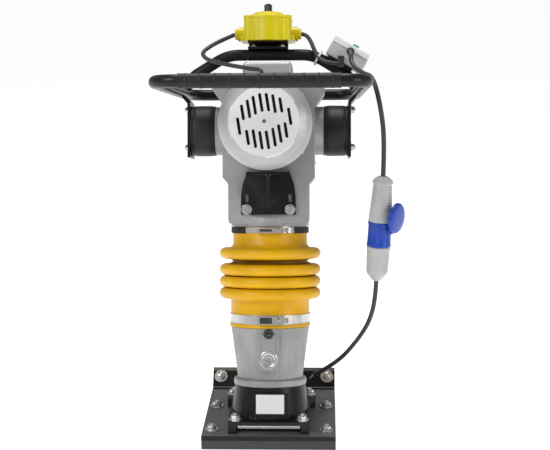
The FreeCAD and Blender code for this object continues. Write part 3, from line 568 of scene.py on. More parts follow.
def softened(node: str, body: Body | None, finish: Finish, width: float = 1.5,
             name: str | None = None) -> bpy.types.Object:
    """A copy of a CAD node with merged faces and rounded edges.

    Args:
        node: The CAD node.
        body: Its body.
        finish: Its finish.
        width: Edge rounding in millimetres.
        name: Piece name, by default the node's with an ending.

    Returns:
        The piece's object.
    """
    mesh = bmesh.new()
    mesh.from_mesh(NODES[node].data)
    bmesh.ops.remove_doubles(mesh, verts=mesh.verts, dist=0.01 * MM)
    bmesh.ops.dissolve_limit(mesh, angle_limit=math.radians(FLAT), verts=mesh.verts, edges=mesh.edges)
    data = bpy.data.meshes.new(name or node + "_skin")
    mesh.to_mesh(data)
    mesh.free()
    return dress(bpy.data.objects.new(data.name, data), body, finish, [node], width, CREASE, 2)


def smooth_line(name: str, route: Sequence[Point], scale: float, steps: int) -> bpy.types.Curve:
    """A smooth open curve between its control points.

    Args:
        name: The curve's name.
        route: Control points.
        scale: Factor on their coordinates.
        steps: Points between two control points.

    Returns:
        The curve.
    """
    data = bpy.data.curves.new(name, "CURVE")
    data.dimensions = "3D"
    data.resolution_u = steps
    spline = data.splines.new("NURBS")
    spline.points.add(len(route) - 1)
    for point, spot in zip(spline.points, route):
        point.co = (*(c * scale for c in spot), 1.0)
    spline.order_u = 3
    spline.use_endpoint_u = True
    return data


# ---------------------------------------------------------------- camera, floor and light

@dataclass
class Studio:
    """Camera, pale floor and soft light.

    Attributes:
        eye: Camera position in metres.
        pitch, yaw, roll: Camera angles in degrees.
        focal: Focal length in millimetres.
        sensor: Width of the sensor in millimetres.
        reach: Half width of the floor in metres.
        drop: How far the floor lies under the sole, in metres.
        glow: Strength of the floor's own light.
        sky: Strength of the surroundings.
        aim: Where the lamps point.
        lamps: Place in metres and watts of each lamp.
        spread: Width of each lamp in metres.
    """

    eye: Point = (0.1201, -2.7009, 1.0709)
    pitch: float = 12.86
    yaw: float = 2.28
    roll: float = -0.55
    focal: float = 84.37
    sensor: float = 36.0
    reach: float = 60.0
    drop: float = 0.0005
    glow: float = 0.66
    sky: float = 0.34
    aim: Point = (0.0, 0.0, 0.5)
    lamps: tuple[tuple[str, Point, float], ...] = (
        ("key", (-1.8, -2.0, 2.3), 50.0), ("fill", (2.3, -1.4, 1.2), 24.0), ("top", (0.0, 0.5, 2.6), 34.0))
    spread: float = 1.2

    def camera(self) -> None:
        """Places the camera."""
        yaw, pitch, roll = (math.radians(a) for a in (self.yaw, self.pitch, self.roll))
        ahead = Vector((-math.sin(yaw) * math.cos(pitch), math.cos(yaw) * math.cos(pitch), -math.sin(pitch)))
        level = Vector((math.cos(yaw), math.sin(yaw), 0.0))
        upright = level.cross(ahead)
        right = level * math.cos(roll) + upright * math.sin(roll)
        up = right.cross(ahead)
        data = bpy.data.cameras.new("camera")
        data.lens = self.focal
        data.sensor_width = self.sensor
        data.clip_end = 50.0
        eye = bpy.data.objects.new("camera", data)
        bpy.context.scene.collection.objects.link(eye)
        turn = Matrix((right, up, -ahead)).transposed().to_4x4()
        eye.matrix_world = Matrix.Translation(self.eye) @ turn
        bpy.context.scene.camera = eye

    def floor(self) -> None:
        """A wide pale floor, not part of the object."""
        mesh = bmesh.new()
        bmesh.ops.create_grid(mesh, x_segments=1, y_segments=1, size=self.reach)
        data = bpy.data.meshes.new("floor")
        mesh.to_mesh(data)
        mesh.free()
        data.transform(Matrix.Translation((0.0, 0.0, -self.drop)))
        ground = bpy.data.objects.new("floor", data)
        bpy.context.scene.collection.objects.link(ground)
        graph = Graph("floor")
        graph.set(base_color=(0.93, 0.93, 0.93), roughness=0.9, emission_color=(1.0, 1.0, 1.0),
                  emission_strength=self.glow)
        data.materials.append(graph.material)

    def lamp(self, name: str, spot: Point, power: float) -> None:
        """One soft square light.

        Args:
            name: Light name.
            spot: Where it hangs, in metres.
            power: Watts.
        """
        data = bpy.data.lights.new(name, "AREA")
        data.size = self.spread
        data.energy = power
        lamp = bpy.data.objects.new(name, data)
        bpy.context.scene.collection.objects.link(lamp)
        lamp.location = spot
        lamp.rotation_euler = (Vector(self.aim) - Vector(spot)).to_track_quat("-Z", "Y").to_euler()

    def light(self) -> None:
        """White surroundings, dimmer where they light than where they are seen, and the lamps."""
        world = bpy.data.worlds.new("studio")
        world.use_nodes = True
        tree = world.node_tree
        soft = tree.nodes["Background"]
        soft.inputs[0].default_value = (0.98, 0.99, 1.0, 1.0)
        soft.inputs[1].default_value = self.sky
        backdrop = tree.nodes.new("ShaderNodeBackground")
        backdrop.inputs[0].default_value = (1.0, 1.0, 1.0, 1.0)
        seen = tree.nodes.new("ShaderNodeLightPath")
        blend = tree.nodes.new("ShaderNodeMixShader")
        tree.links.new(seen.outputs["Is Camera Ray"], blend.inputs[0])
        tree.links.new(soft.outputs[0], blend.inputs[1])
        tree.links.new(backdrop.outputs[0], blend.inputs[2])
        tree.links.new(blend.outputs[0], tree.nodes["World Output"].inputs[0])
        bpy.context.scene.world = world
        for lamp in self.lamps:
            self.lamp(*lamp)
        bpy.context.scene.view_settings.view_transform = "Standard"

    def build(self) -> None:
        """Builds the whole studio."""
        self.camera()
        self.floor()
        self.light()


# ---------------------------------------------------------------- cords and the mated connector

@dataclass
class CordSet:
    """Supply lead, coupling with its lid, plug and the stripped stub lead.

    Attributes:
        radius: Jacket radius in millimetres.
        supply: Route of the supply lead.
        stub: Route of the lower lead.
        hinge: Turn of the lid's hinge about the coupling's axis, in degrees.
        strands: Strands in each bare core.
    """

    radius: float = 5.0
    supply: tuple[Point, ...] = ((176.0, 131.1, 813.0), (176, 98.4, 819.9), (176, 76, 790), (200, 22, 776),
                                 (219, -50, 778), (234, -80, 718), (242.4, -80, 650), (240, -80, 575))
    stub: tuple[Point, ...] = ((227.6, -80.0, 352.9), (226.3, -78, 313), (215.5, -55, 255), (189, 0, 192),
                               (146, 58, 122), (96, 106, 78))
    hinge: float = -30.0
    strands: int = 5

    def curve(self, name: str, route: Sequence[Point], node: str) -> bpy.types.Object:
        """One jacketed lead as a smooth curve on the handle.

        Args:
            name: Piece name.
            route: Control points in millimetres in the world's frame.
            node: CAD node that it replaces.

        Returns:
            The curve object.
        """
        data = smooth_line(name, route, MM, 16)
        data.bevel_depth = self.radius * MM
        data.bevel_resolution = 6
        data.use_fill_caps = True
        obj = bpy.data.objects.new(name, data)
        bpy.context.scene.collection.objects.link(obj)
        paint(obj, Finishes.CABLE)
        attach(obj, Body.HANDLE.value)
        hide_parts(node)
        LOG.info("piece %s", name)
        return obj

    def coupling(self) -> bpy.types.Object:
        """Grey ribbed coupling body with its clamping nut.

        Returns:
            The piece.
        """
        part = Shape(CONNECTOR)
        part.lathe([(5.6, 0.5), (11, -0.5), (18.5, -6), (21.6, -11), (21.6, -14), (19.4, -16), (19.4, -17.5),
                    (18.8, -19)] + self.ribs(-19.5, -64, 19.6, 22.6, 8) +
                   [(23.4, -72), (24.4, -90), (25, -94.6), (0.5, -94.8)], 80)
        return part.finish("coupling_body", Body.HANDLE, Finishes.GREY_PLASTIC, ["coupling"],
                           "grey_plastic", smooth=30)

    @staticmethod
    def ribs(top: float, bottom: float, start: float, stop: float, count: int) -> list[Pair]:
        """Soft grip ribs on a cone.

        Args:
            top, bottom: Heights of its ends.
            start, stop: Radii of its ends.
            count: Ribs between them.

        Returns:
            Profile corners from the top down.
        """
        corners = []
        for i in range(count):
            for part, lift in ((0.0, -0.7), (0.25, 0.15), (0.7, 0.3), (0.95, -0.55)):
                t = (i + part) / count
                corners.append((start + (stop - start) * t + lift, top + (bottom - top) * t))
        return corners

    def collar(self) -> bpy.types.Object:
        """Blue collar with a rim, key rib and hinge ear.

        Returns:
            The piece.
        """
        part = Shape(CONNECTOR)
        part.lathe([(0.5, -95), (24.6, -95), (25.5, -96), (25.5, -100), (24.4, -101), (24.2, -112),
                    (24.6, -140), (25.5, -142), (25.5, -146.6), (24.4, -147.5), (0.5, -147.5)], 96)
        part.block((5, 15, 11), turned("Z", self.hinge) @ place(25.2, 0, -114))
        part.block((2.4, 7, 40), turned("Z", -100) @ place(24.6, 0, -121))
        return part.finish("coupling_collar_blue", Body.HANDLE, Finishes.BLUE_PLASTIC,
                           ["coupling_collar"], "blue_plastic", bevel=0.6)

    def lid(self) -> bpy.types.Object:
        """Domed hinged lid standing up beside the coupling.

        Returns:
            The piece.
        """
        part = Shape(CONNECTOR @ turned("Z", self.hinge) @ place(33.8, 0, -83, [("Y", 90), ("Z", 180)]))
        part.lathe([(0.3, 2.4), (27, 2.4), (28, 0), (31.4, 0), (32, 1), (31.6, 5), (29.6, 7.6),
                    (25, 9.2), (12, 9.9), (0.3, 10)], 72)
        part.block((10, 13, 3.6), place(-28, 0, -1.2))
        part.lathe([(0.3, -7), (2.4, -6.8), (2.4, 6.8), (0.3, 7)], 20, place(-31, 0, -3.8, [("X", 90)]))
        return part.finish("connector_lid", Body.CORD_LID, Finishes.BLUE_PLASTIC, ["coupling_lid"],
                           "blue_plastic", bevel=0.5)

    def plug(self) -> bpy.types.Object:
        """Finger ribs and end cone over the grey plug body, which is the CAD node in a new finish.

        Returns:
            The ribs' piece.
        """
        part = Shape(CONNECTOR)
        part.lathe([(20.5, -163.5), (22.6, -163.6)] + self.ribs(-164, -203, 24.1, 22.5, 7) +
                   [(21.6, -203.6), (20.0, -203.8)], 80)
        part.lathe([(18.0, -149.0), (24.0, -149.0), (24.6, -150), (24.6, -156), (23.6, -157),
                    (18.0, -157)], 80)
        paint(NODES["plug"], Finishes.GREY_PLASTIC)
        return part.finish("plug_ribs", Body.HANDLE, Finishes.GREY_PLASTIC, (), "grey_plastic", smooth=30)

    def cores(self) -> bpy.types.Object:
        """Three bare stranded cores fanning out of the cut jacket.

        Returns:
            The piece.
        """
        part = Shape()
        tip = Vector(self.stub[-1])
        heading = (tip - Vector(self.stub[-2])).normalized()
        for side, drop in ((-2.2, 0.0), (1.6, -1.8), (1.6, 1.8)):
            way = (heading * 14 + Vector((side * 3.6, drop * 2.4, side * 3.4))).normalized()
            start = tip + Vector((side * 0.6, drop * 0.5, side * 0.4)) - heading * 2
            across = way.orthogonal().normalized()
            for strand in range(self.strands):
                turn = Matrix.Rotation(2 * math.pi * strand / self.strands, 3, way)
                twist = [turn @ Matrix.Rotation(k * 0.35, 3, way) @ across for k in range(9)]
                path = [start + way * (k * 2.1) + out * 0.6 for k, out in enumerate(twist)]
                part.tube(path, 0.55, 8)
        return part.finish("stub_core_strands", Body.HANDLE, Finishes.COPPER, ["stub_cores"], "copper")

    def build(self) -> None:
        """Builds both free leads with what is on them."""
        supply = self.curve("supply_cord", self.supply, "supply_lead")
        pieces = [self.coupling(), self.collar(), self.lid(), NODES["plug"]]
        ribs = self.plug()
        stub = self.curve("stub_cord", self.stub, "stub_lead")
        bare = self.cores()
        tuple(c * MM for c in self.supply[0])
        tuple(c * MM for c in self.stub[0])


@dataclass
class HeldLeads:
    """The two leads that the machine holds all the way, with the tie that holds one to the arch.

    Attributes:
        radius: Jacket radius.
        motor_run: Control points from the switch box round to the motor's terminal box.
        box_run: Control points from the switch box to the isolator.
        slack: Index in motor_run of a point whose place is worked out but not used.
    """

    radius: float = 4.6
    motor_run: tuple[Point, ...] = (
        (-79.0, 45, 814), (-108, 42, 801.5), (-133, 34, 787.4), (-150, 14, 771), (-142, -12, 756),
        (-122, -42, 745), (-87, -80, 733.5), (-53, -118, 724), (-29, -146, 717), (-10, -168, 714.5),
        (-10, -168, 705.1))
    box_run: tuple[Point, ...] = (
        (68.1, 45, 814), (77, 44.8, 813.6), (88, 40, 800), (96, 30, 779), (104, 22, 759), (124, 9, 747),
        (148, 7, 744))
    slack: int = 6

    def build(self) -> None:
        """Builds both leads and the tie."""
        motor = self.jacket("motor_lead_jacket", self.motor_run, "motor_lead")
        start, end = (metres(LEAN, self.motor_run[i]) for i in (self.slack, -1))
        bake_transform(motor)
        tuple(start)
        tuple(end)
        lead = self.jacket("isolator_lead_jacket", self.box_run, "isolator_lead")
        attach(lead, Body.HANDLE.value)
        self.tie()

    def jacket(self, name: str, run: Sequence[Point], node: str) -> bpy.types.Object:
        """A jacket swept on the smooth curve through a run, on no body yet.

        Args:
            name: Piece name.
            run: Control points in millimetres in the leaning frame.
            node: CAD node that it stands for.

        Returns:
            The jacket's object.
        """
        line = bpy.data.objects.new(name + "_line", smooth_line(name, run, 1.0, 10))
        path = [v.co.copy() for v in bpy.data.meshes.new_from_object(line).vertices]
        bpy.data.objects.remove(line)
        part = Shape(LEAN)
        part.tube(path, self.radius, 16)
        return dress(bpy.data.objects.new(name, part.data(name)), None, Finishes.CABLE, [node])

    def tie(self) -> None:
        """White cable tie round the arch's leg and the lead beside it."""
        part = Shape(LEAN @ place(106, 40, 761, [("Y", 121)]))
        band = [Vector((17 * math.cos(a) * (1.0 + 0.06 * math.cos(a)), 19 * math.sin(a) - 3, 0))
                for a in (2 * math.pi * k / 40 for k in range(40))]
        for offset in (-1.6, -0.5, 0.6, 1.7):
            part.tube([p + Vector((0, 0, offset)) for p in band], 0.75, 8, closed=True)
        part.block((6, 5, 6), place(0, 17, 0))
        part.finish("cable_tie", Body.HANDLE, Finishes.WHITE_PLASTIC, (), "white_plastic", bevel=0.3)


# ---------------------------------------------------------------- repeated parts

class Repeater:
    """Geometry Nodes group that sets one part on many points."""

    _group: bpy.types.NodeTree | None = None

    @classmethod
    def group(cls) -> bpy.types.NodeTree:
        """The node group, made on first use.

        Returns:
            The group with inputs Geometry, Part, Spin, Seed and Finish.
        """
        if cls._group:
            return cls._group
        tree = bpy.data.node_groups.new("repeat_part", "GeometryNodeTree")
        for label, kind in (("Geometry", "Geometry"), ("Part", "Object"), ("Spin", "Float"),
                            ("Seed", "Int"), ("Finish", "Material")):
            tree.interface.new_socket(label, in_out="INPUT", socket_type="NodeSocket" + kind)
        tree.interface.new_socket("Geometry", in_out="OUTPUT", socket_type="NodeSocketGeometry")
        add = tree.nodes.new
        link = tree.links.new
        given, result = add("NodeGroupInput"), add("NodeGroupOutput")
        part, scatter = add("GeometryNodeObjectInfo"), add("GeometryNodeInstanceOnPoints")
        turn = add("GeometryNodeInputNamedAttribute")
        turn.data_type = "FLOAT_VECTOR"
        turn.inputs["Name"].default_value = "turn"
        link(given.outputs["Part"], part.inputs["Object"])
        link(given.outputs["Geometry"], scatter.inputs["Points"])
        link(part.outputs["Geometry"], scatter.inputs["Instance"])
        link(turn.outputs["Attribute"], scatter.inputs["Rotation"])
        chance = add("FunctionNodeRandomValue")
        chance.data_type = "FLOAT"
        link(given.outputs["Spin"], chance.inputs[3])
        link(given.outputs["Seed"], chance.inputs["Seed"])
        angles = add("ShaderNodeCombineXYZ")
        link(chance.outputs[1], angles.inputs["Z"])
        spin = add("GeometryNodeRotateInstances")
        link(scatter.outputs[0], spin.inputs["Instances"])
        link(angles.outputs[0], spin.inputs["Rotation"])
        realize, coat = add("GeometryNodeRealizeInstances"), add("GeometryNodeSetMaterial")
        link(spin.outputs[0], realize.inputs[0])
        link(realize.outputs[0], coat.inputs["Geometry"])
        link(given.outputs["Finish"], coat.inputs["Material"])
        link(coat.outputs[0], result.inputs[0])
        cls._group = tree
        return tree

    @classmethod
    def run(cls, name: str, part: Shape, spots: Sequence[Matrix], body: Body, finish: Finish,
            replaces: Sequence[str] = (), slot: str | None = None, spin: float = 0.0, seed: int = 3,
            bevel: float = 0.0) -> bpy.types.Object:
        """Sets a part on every spot and makes one plain mesh of the result.

        Args:
            name: Piece name.
            part: The repeated shape, in millimetres.
            spots: Frames in millimetres in the world's frame.
            body: The body the piece rides on.
            finish: Its finish.
            replaces: CAD nodes that it stands for.
            slot: Material slot; not used.
            spin: Largest random turn about each spot's Z, in radians.
            seed: Seed of that turn.
            bevel: Edge rounding in millimetres.

        Returns:
            The piece's object.
        """
        model = bpy.data.objects.new(name + "_part", part.data(name + "_part"))
        points = bpy.data.meshes.new(name + "_points")
        points.from_pydata([spot.translation * MM for spot in spots], [], [])
        turns = points.attributes.new("turn", "FLOAT_VECTOR", "POINT")
        for value, spot in zip(turns.data, spots):
            value.vector = spot.to_euler()
        holder = bpy.data.objects.new(name + "_points", points)
        for obj in (model, holder):
            bpy.context.scene.collection.objects.link(obj)
        modifier = holder.modifiers.new("repeat", "NODES")
        modifier.node_group = cls.group()
        values = {"Part": model, "Spin": spin, "Seed": seed, "Finish": Finishes.get(finish)}
        for item in modifier.node_group.interface.items_tree:
            if item.in_out == "INPUT" and item.name in values:
                modifier[item.identifier] = values[item.name]
        bpy.context.view_layer.update()
        deps = bpy.context.evaluated_depsgraph_get()
        mesh = bpy.data.meshes.new_from_object(holder.evaluated_get(deps))
        mesh.name = name
        holder.modifiers.remove(modifier)
        bpy.data.objects.remove(holder)
        bpy.data.objects.remove(model)
        return dress(bpy.data.objects.new(name, mesh), body, finish, replaces, bevel, 30.0, 2)


@dataclass(frozen=True)
class Fastener:
    """Sizes of one kind of screw or nut, in millimetres.

    Attributes:
        hexagon: Pair radius of the head.
        height: Head height.
        washer: Washer radius, or 0 for none.
        plate: Washer thickness.
        stud: Radius of the thread end that shows, or 0 for none.
        proud: How far that end stands out.
        socket: True for a round head with a hexagon recess.
    """

    hexagon: float
    height: float
    washer: float = 0.0
    plate: float = 2.0
    stud: float = 0.0
    proud: float = 3.0
    socket: bool = False

    def shape(self) -> Shape:
        """The fastener standing on its Z axis.

        Returns:
            Its shape, in millimetres.
        """
        part = Shape()
        base = 0.0
        if self.washer:
            w, t = self.washer, self.plate
            part.lathe([(0.3, 0.02), (w - 0.4, 0.02), (w, 0.3), (w, t - 0.4), (w - 0.5, t), (0.3, t)], 40)
            base = t
        top = base + self.height
        if self.socket:
            r = self.hexagon
            part.lathe([(0.2, base), (r, base), (r, top - 0.6), (r - 0.6, top), (r * 0.55, top),
                        (r * 0.5, top - self.height * 0.55), (0.2, top - self.height * 0.55)], 36)
        else:
            low, high = self.hexagon, self.hexagon * 0.9
            rows = [(low, base), (low, top - 1.0), (high, top)]
            part.ring_stack([[(r * math.cos(k * math.pi / 3), r * math.sin(k * math.pi / 3), z)
                              for k in range(6)] for r, z in rows])
        if self.stud:
            grooves: list[Pair] = [(0.2, top - 0.5)]
            height = top - 0.4
            while height < top + self.proud:
                grooves += [(self.stud, height), (self.stud * 0.86, height + 0.5)]
                height += 1.0
            part.lathe(grooves + [(0.2, height)], 24)
        return part


# ---------------------------------------------------------------- sub-assemblies

@dataclass
class Sole:
    """Ground pad, sole plate with its upturned toe and their bolts.

    Attributes:
        bolt_x: Bolt lines either side.
        bolt_rows: Bolt rows fore and aft.
        top: Height of the plate's face.
        toe_x: Places of the toe's bolts either side.
        toe: Depth and height of the toe's bolts.
        toe_angle: Rise of the toe in degrees.
        shelf: Depth past which the plate is painted as the toe is.
        edge: Length, width and thickness of the toe's worn edge.
        nut: Its fasteners.
    """

    bolt_x: float = 122.5
    bolt_rows: Pair = (-113.0, 28.0)
    top: float = 30.0
    toe_x: float = 124.0
    toe: Pair = (165.2, 52.0)
    toe_angle: float = 52.0
    shelf: float = 146.0
    edge: Point = (284.0, 8.6, 1.2)
    nut: Fastener = Fastener(10.0, 8.0, 15.0, 2.5, 5.8, 3.0)

    def build(self) -> None:
        """Builds the whole sub-assembly."""
        softened("sole_pad", Body.FOOT, Finishes.SOLE_PAD, 2.2)
        plate = softened("sole_plate", Body.FOOT, Finishes.BLACK_PAINT, 1.2)
        paint_faces(plate, Finishes.PLATE_PAINT, lambda spot, out: spot.y < self.shelf and out.z > 0.9)
        edge = Shape()
        edge.block(self.edge, place(0, 175.9, 66.2, [("X", self.toe_angle)]))
        edge.finish("toe_edge", Body.FOOT, Finishes.EDGE_GREY, bevel=0.4)
        spots = [place(x * self.bolt_x, y, self.top) for x in (-1, 1) for y in self.bolt_rows]
        spots += [place(x * self.toe_x, *self.toe, [("X", self.toe_angle)]) for x in (-1, 1)]
        Repeater.run("sole_nuts", self.nut.shape(), spots, Body.FOOT, Finishes.ZINC, ["sole_bolts"],
                     "zinc", 1.0, 4, 0.35)


@dataclass
class FootCasting:
    """Black foot with its flange, worn strip, plate and bolts.

    Attributes:
        spots: Places of the flange's bolts.
        flange: Height of the flange's face.
        strip: Length, depth and height of the worn strip.
        nut: Its fasteners.
    """

    spots: tuple[Pair, ...] = ((-71.5, -120), (71.5, -120), (-84, 38), (84, 38))
    flange: float = 56.0
    strip: Point = (134.0, 2.4, 8.5)
    nut: Fastener = Fastener(10.0, 8.0, 14.0, 2.5, 5.8, 4.0)

    def build(self) -> None:
        """Builds the whole sub-assembly."""
        softened("foot_casting", Body.FOOT, Finishes.BLACK_PAINT, 2.6)
        strip = Shape()
        strip.block(self.strip, place(0, -122.0, 40.5))
        strip.finish("worn_strip", Body.FOOT, Finishes.BRIGHT, bevel=0.5)
        softened("data_plate", Body.FOOT, Finishes.LABEL, 0.4)
        spots = [place(x, y, self.flange) for x, y in self.spots]
        Repeater.run("foot_nuts", self.nut.shape(), spots, Body.FOOT, Finishes.ZINC, ["foot_bolts"],
                     "zinc", 1.0, 7, 0.35)


@dataclass
class SpringHousing:
    """Cast lower housing with its facets, pad, sight glass and drain plug.

    Attributes:
        facets: Flat faces round the casting.
        wall: Lowest and highest part of the faceted wall.
        bore: Radius inside which nothing is faceted.
        section: Half section, from the bore's foot round the outside.
        pad: Size of the raised pad on the operator's side.
        glass, drain: Heights of the sight glass and the drain plug along the axis.
    """

    facets: int = 22
    wall: Pair = (61.0, 172.2)
    bore: float = 64.0
    section: tuple[Pair, ...] = (
        (62.1, 44), (75, 44), (77.8, 45.2), (79, 47), (79, 57), (77.6, 59.2), (75, 60.4), (71.6, 61.4),
        (71.2, 64), (74, 84), (77.6, 112), (81.2, 140), (85, 166), (86, 171), (85.6, 172.2), (81.6, 172.5),
        (81.6, 212), (62.1, 212))
    pad: Point = (46.0, 22.0, 90.0)
    glass: float = 106.0
    drain: float = 161.5

    def facet(self, angle: float, radius: float, height: float) -> float:
        """Radius of the faceted wall.

        Args:
            angle: Place round the axis in radians.
            radius, height: Pair of the plain section.

        Returns:
            The radius there, with the faces' seams drawn in a little.
        """
        if radius < self.bore or not self.wall[0] < height < self.wall[1]:
            return radius
        half = math.pi / self.facets
        across = (angle + half) % (2 * half) - half
        return radius * (0.994 + 0.006 * math.cos(half) / math.cos(across)) - 0.9 * (abs(across) / half) ** 6

    def build(self) -> None:
        """Builds the whole sub-assembly."""
        part = Shape(LEAN)
        part.lathe(self.section, 176, warp=self.facet)
        part.block(self.pad, place(0, -76, 127))
        part.block((30, 3, 44), place(0, -87.6, 138))
        part.finish("housing_casting", Body.FOOT, Finishes.CAST_SILVER, ["lower_housing"], "cast_silver",
                    bevel=1.4, smooth=22)
        rim = Shape(LEAN @ place(0, -73, self.glass, [("X", 90)]))
        rim.lathe([(0.4, 13.5), (5, 13.5), (5.4, 16.4), (7.6, 16.6), (8.2, 14.6), (11.2, 14.6),
                   (11.8, 17.8), (14.6, 18.8), (16.4, 16.6), (17.2, 16.6), (18.0, 18.0), (19.5, 17.2),
                   (19.5, 13.4), (0.4, 13)], 72)
        rim.finish("sight_rings", Body.FOOT, Finishes.GLASS_RIM, ["sight_glass"], "zinc", smooth=24)
        plug = Shape(LEAN @ place(0, -80, self.drain, [("X", 90)]))
        plug.lathe([(0.3, 9.0), (4.2, 9.0), (4.6, 12), (9.6, 12), (10.5, 11), (10.5, 7), (8, 6.8),
                    (8, 1), (0.3, 1)], 48)
        plug.finish("drain_plug_cap", Body.FOOT, Finishes.BLACK_PLASTIC, ["drain_plug"],
                    "black_plastic", smooth=24)


@dataclass
class Bellows:
    """Rubber bellows with four rings; the band clamps at its necks are a class of their own.

    Attributes:
        rings: Heights of the ring centres.
        major: Radius to a ring's centre.
        fold: Radius of a ring's section.
        groove: Radius at the bottom of the folds.
        lower_neck, upper_neck: Outer section of the two necks, from the bottom up.
        bore: Inner section, from the top down.
        shaded: Lowest and highest part of the folds that take the painted shade, a darker copy of the
            rubber's finish.
        shade_radius: Radius inside which they take it.
        travel: Where along the axis the rubber's stretch would start and end; these points are worked out
            but not used.
    """

    rings: tuple[float, ...] = (244.5, 270.0, 296.0, 331.0)
    major: float = 98.7
    fold: float = 12.0
    groove: float = 82.0
    lower_neck: tuple[Pair, ...] = ((88.0, 172.6), (88.0, 177.0), (87.0, 179.4), (86.0, 181), (86.0, 226),
                                      (86.6, 230))
    upper_neck: tuple[Pair, ...] = ((84, 346), (81, 351), (81, 389))
    bore: tuple[Pair, ...] = ((77.4, 389), (77.4, 346), (76.2, 341), (76.2, 236), (82, 234), (82, 172.6))
    shaded: Pair = (240.0, 336.0)
    shade_radius: float = 93.0
    travel: Pair = (205.0, 372.0)

    def profile(self) -> list[Pair]:
        """Whole section of the rubber.

        Returns:
            Corners up the outside from the lower neck to the upper one, then down the bore.
        """
        outer = list(self.lower_neck)
        for i, middle in enumerate(self.rings):
            for k in range(17):
                a = math.radians(-122 + 244 * k / 16)
                outer.append((self.major + self.fold * math.cos(a), middle + self.fold * math.sin(a)))
            if i + 1 < len(self.rings):
                gap = (middle + self.rings[i + 1]) / 2
                outer += [(self.groove, gap - 1.2), (self.groove, gap + 1.2)]
        return outer + list(self.upper_neck) + list(self.bore)

    def build(self) -> None:
        """Builds the whole sub-assembly."""
        part = Shape(LEAN)
        part.lathe(self.profile(), 128)
        obj = dress(bpy.data.objects.new("bellows_rubber", part.data("bellows_rubber")), None,
                    Finishes.YELLOW_RUBBER, ["bellows"], smooth=50)
        low, high = self.shaded
        # The inner folds between the rings take the painted shade.
        paint_faces(obj, Finishes.FOLD_SHADE, lambda spot, out: low < spot.z < high
                    and math.hypot(spot.x, spot.y) < self.shade_radius, LEAN)
        start, end = (metres(LEAN, (0, 0, s)) for s in self.travel)
        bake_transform(obj)
        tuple(start)
        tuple(end)


@dataclass
class BandClamp:
    """One band clamp with its T-bolt.

    Attributes:
        name: Piece name.
        node: CAD node it stands for.
        body: Its body.
        neck: Radius of the neck inside it.
        low, high: Edges of the band.
        ribbed: True where black ribbed arcs cover both ends of the band.
    """

    name: str
    node: str
    body: Body
    neck: float
    low: float
    high: float
    ribbed: bool = False

    def arc(self, part: Shape, inner: float, outer: float, low: float, high: float, first: float,
            last: float, rib: float = 0.0) -> None:
        """Sweeps a band's section over part of a turn.

        Args:
            part: The shape it goes into.
            inner, outer: Radii of the section.
            low, high: Heights of the section.
            first, last: Where it starts and ends, in degrees.
            rib: How far its ribs stand out.
        """
        count = max(8, int(abs(last - first) * 0.8))
        rings = []
        for k in range(count + 1):
            a = math.radians(first + (last - first) * k / count)
            r = outer + (rib if k % 4 < 2 else 0.0)
            ring = [(inner, low), (r, low + 0.5), (r, high - 0.5), (inner, high)]
            rings.append([Vector((u * math.cos(a), u * math.sin(a), v)) for u, v in ring])
        part.ring_stack(rings)

    def build(self) -> None:
        """Builds the clamp."""
        softened(self.node, self.body, Finishes.ZINC, 0.7, self.name)
        middle, wide = (self.low + self.high) / 2, self.high - self.low
        front = -self.neck - 11.4
        # Painted shadow: a black strip on the clamp's front stands for the T-bolt in shadow under its bridge
        # plate.
        bolt_shadow = Shape(LEAN)
        bolt_shadow.block((25.0, 1.6, wide - 7.6), place(-5, front + 2.6, middle))
        bolt_shadow.finish(self.name + "_window", self.body, Finishes.BLACK_PLASTIC, bevel=0.3)
        if self.ribbed:
            band = Shape(LEAN)
            for first, last in ((-48, 40), (140, 232)):
                self.arc(band, self.neck + 1.5, self.neck + 3.0, self.low - 1.0, self.high + 1.0,
                         first, last, 0.8)
            band.finish(self.name + "_pads", self.body, Finishes.BLACK_RUBBER, slot="black_rubber",
                        smooth=25)
        else:
            edges = Shape(LEAN)
            for level in (self.low + 0.8, self.high - 0.8):
                self.arc(edges, self.neck + 1.0, self.neck + 2.7, level - 0.8, level + 0.8, -60, 240)
            edges.finish(self.name + "_beads", self.body, Finishes.ZINC, slot="zinc", smooth=30)


@dataclass
class Crankcase:
    """Cast crankcase with its cover, top housing and screws.

    Attributes:
        screws: Place off the axis and along it of the cover's screws on one side.
        cover: Depth of the cover's face.
        top_x, top_n: Places of the top housing's screws.
        top: Height of its face along the axis.
        ribs: Places of the cover's ribs.
        rib: Size of one rib.
    """

    screws: tuple[Pair, ...] = ((79, 430), (92, 530), (92, 620), (108, 686))
    cover: float = 90.0
    top_x: Pair = (-46.0, 40.0)
    top_n: Pair = (-49.0, 39.0)
    top: float = 742.0
    ribs: tuple[float, ...] = (-60.0, -30.0, 0.0, 30.0, 60.0)
    rib: Point = (3.4, 16.0, 150.0)

    def build(self) -> None:
        """Builds the whole sub-assembly."""
        softened("crankcase_housing", Body.UPPER, Finishes.CAST_SILVER, 2.4)
        softened("crankcase_cover", Body.UPPER, Finishes.CAST_SILVER, 1.6)
        softened("top_housing", Body.UPPER, Finishes.COWL_SILVER, 1.2)
        spots = [LEAN @ place(x * side, self.cover, s, [("X", -90)])
                 for side in (-1, 1) for x, s in self.screws]
        head = Fastener(5.4, 4.4, 7.4, 1.3, socket=True)
        Repeater.run("cover_heads", head.shape(), spots, Body.UPPER, Finishes.ZINC, ["cover_screws"],
                     "zinc")
        spots = [LEAN @ place(x, n, self.top) for x in self.top_x for n in self.top_n]
        head = Fastener(4.2, 2.6, socket=True)
        Repeater.run("top_heads", head.shape(), spots, Body.UPPER, Finishes.ZINC, slot="zinc")
        rib = Shape()
        rib.block(self.rib)
        lines = [LEAN @ place(x, 98, 575) for x in self.ribs]
        Repeater.run("cover_ribs", rib, lines, Body.UPPER, Finishes.CAST_SILVER, slot="cast_silver",
                     bevel=1.2)


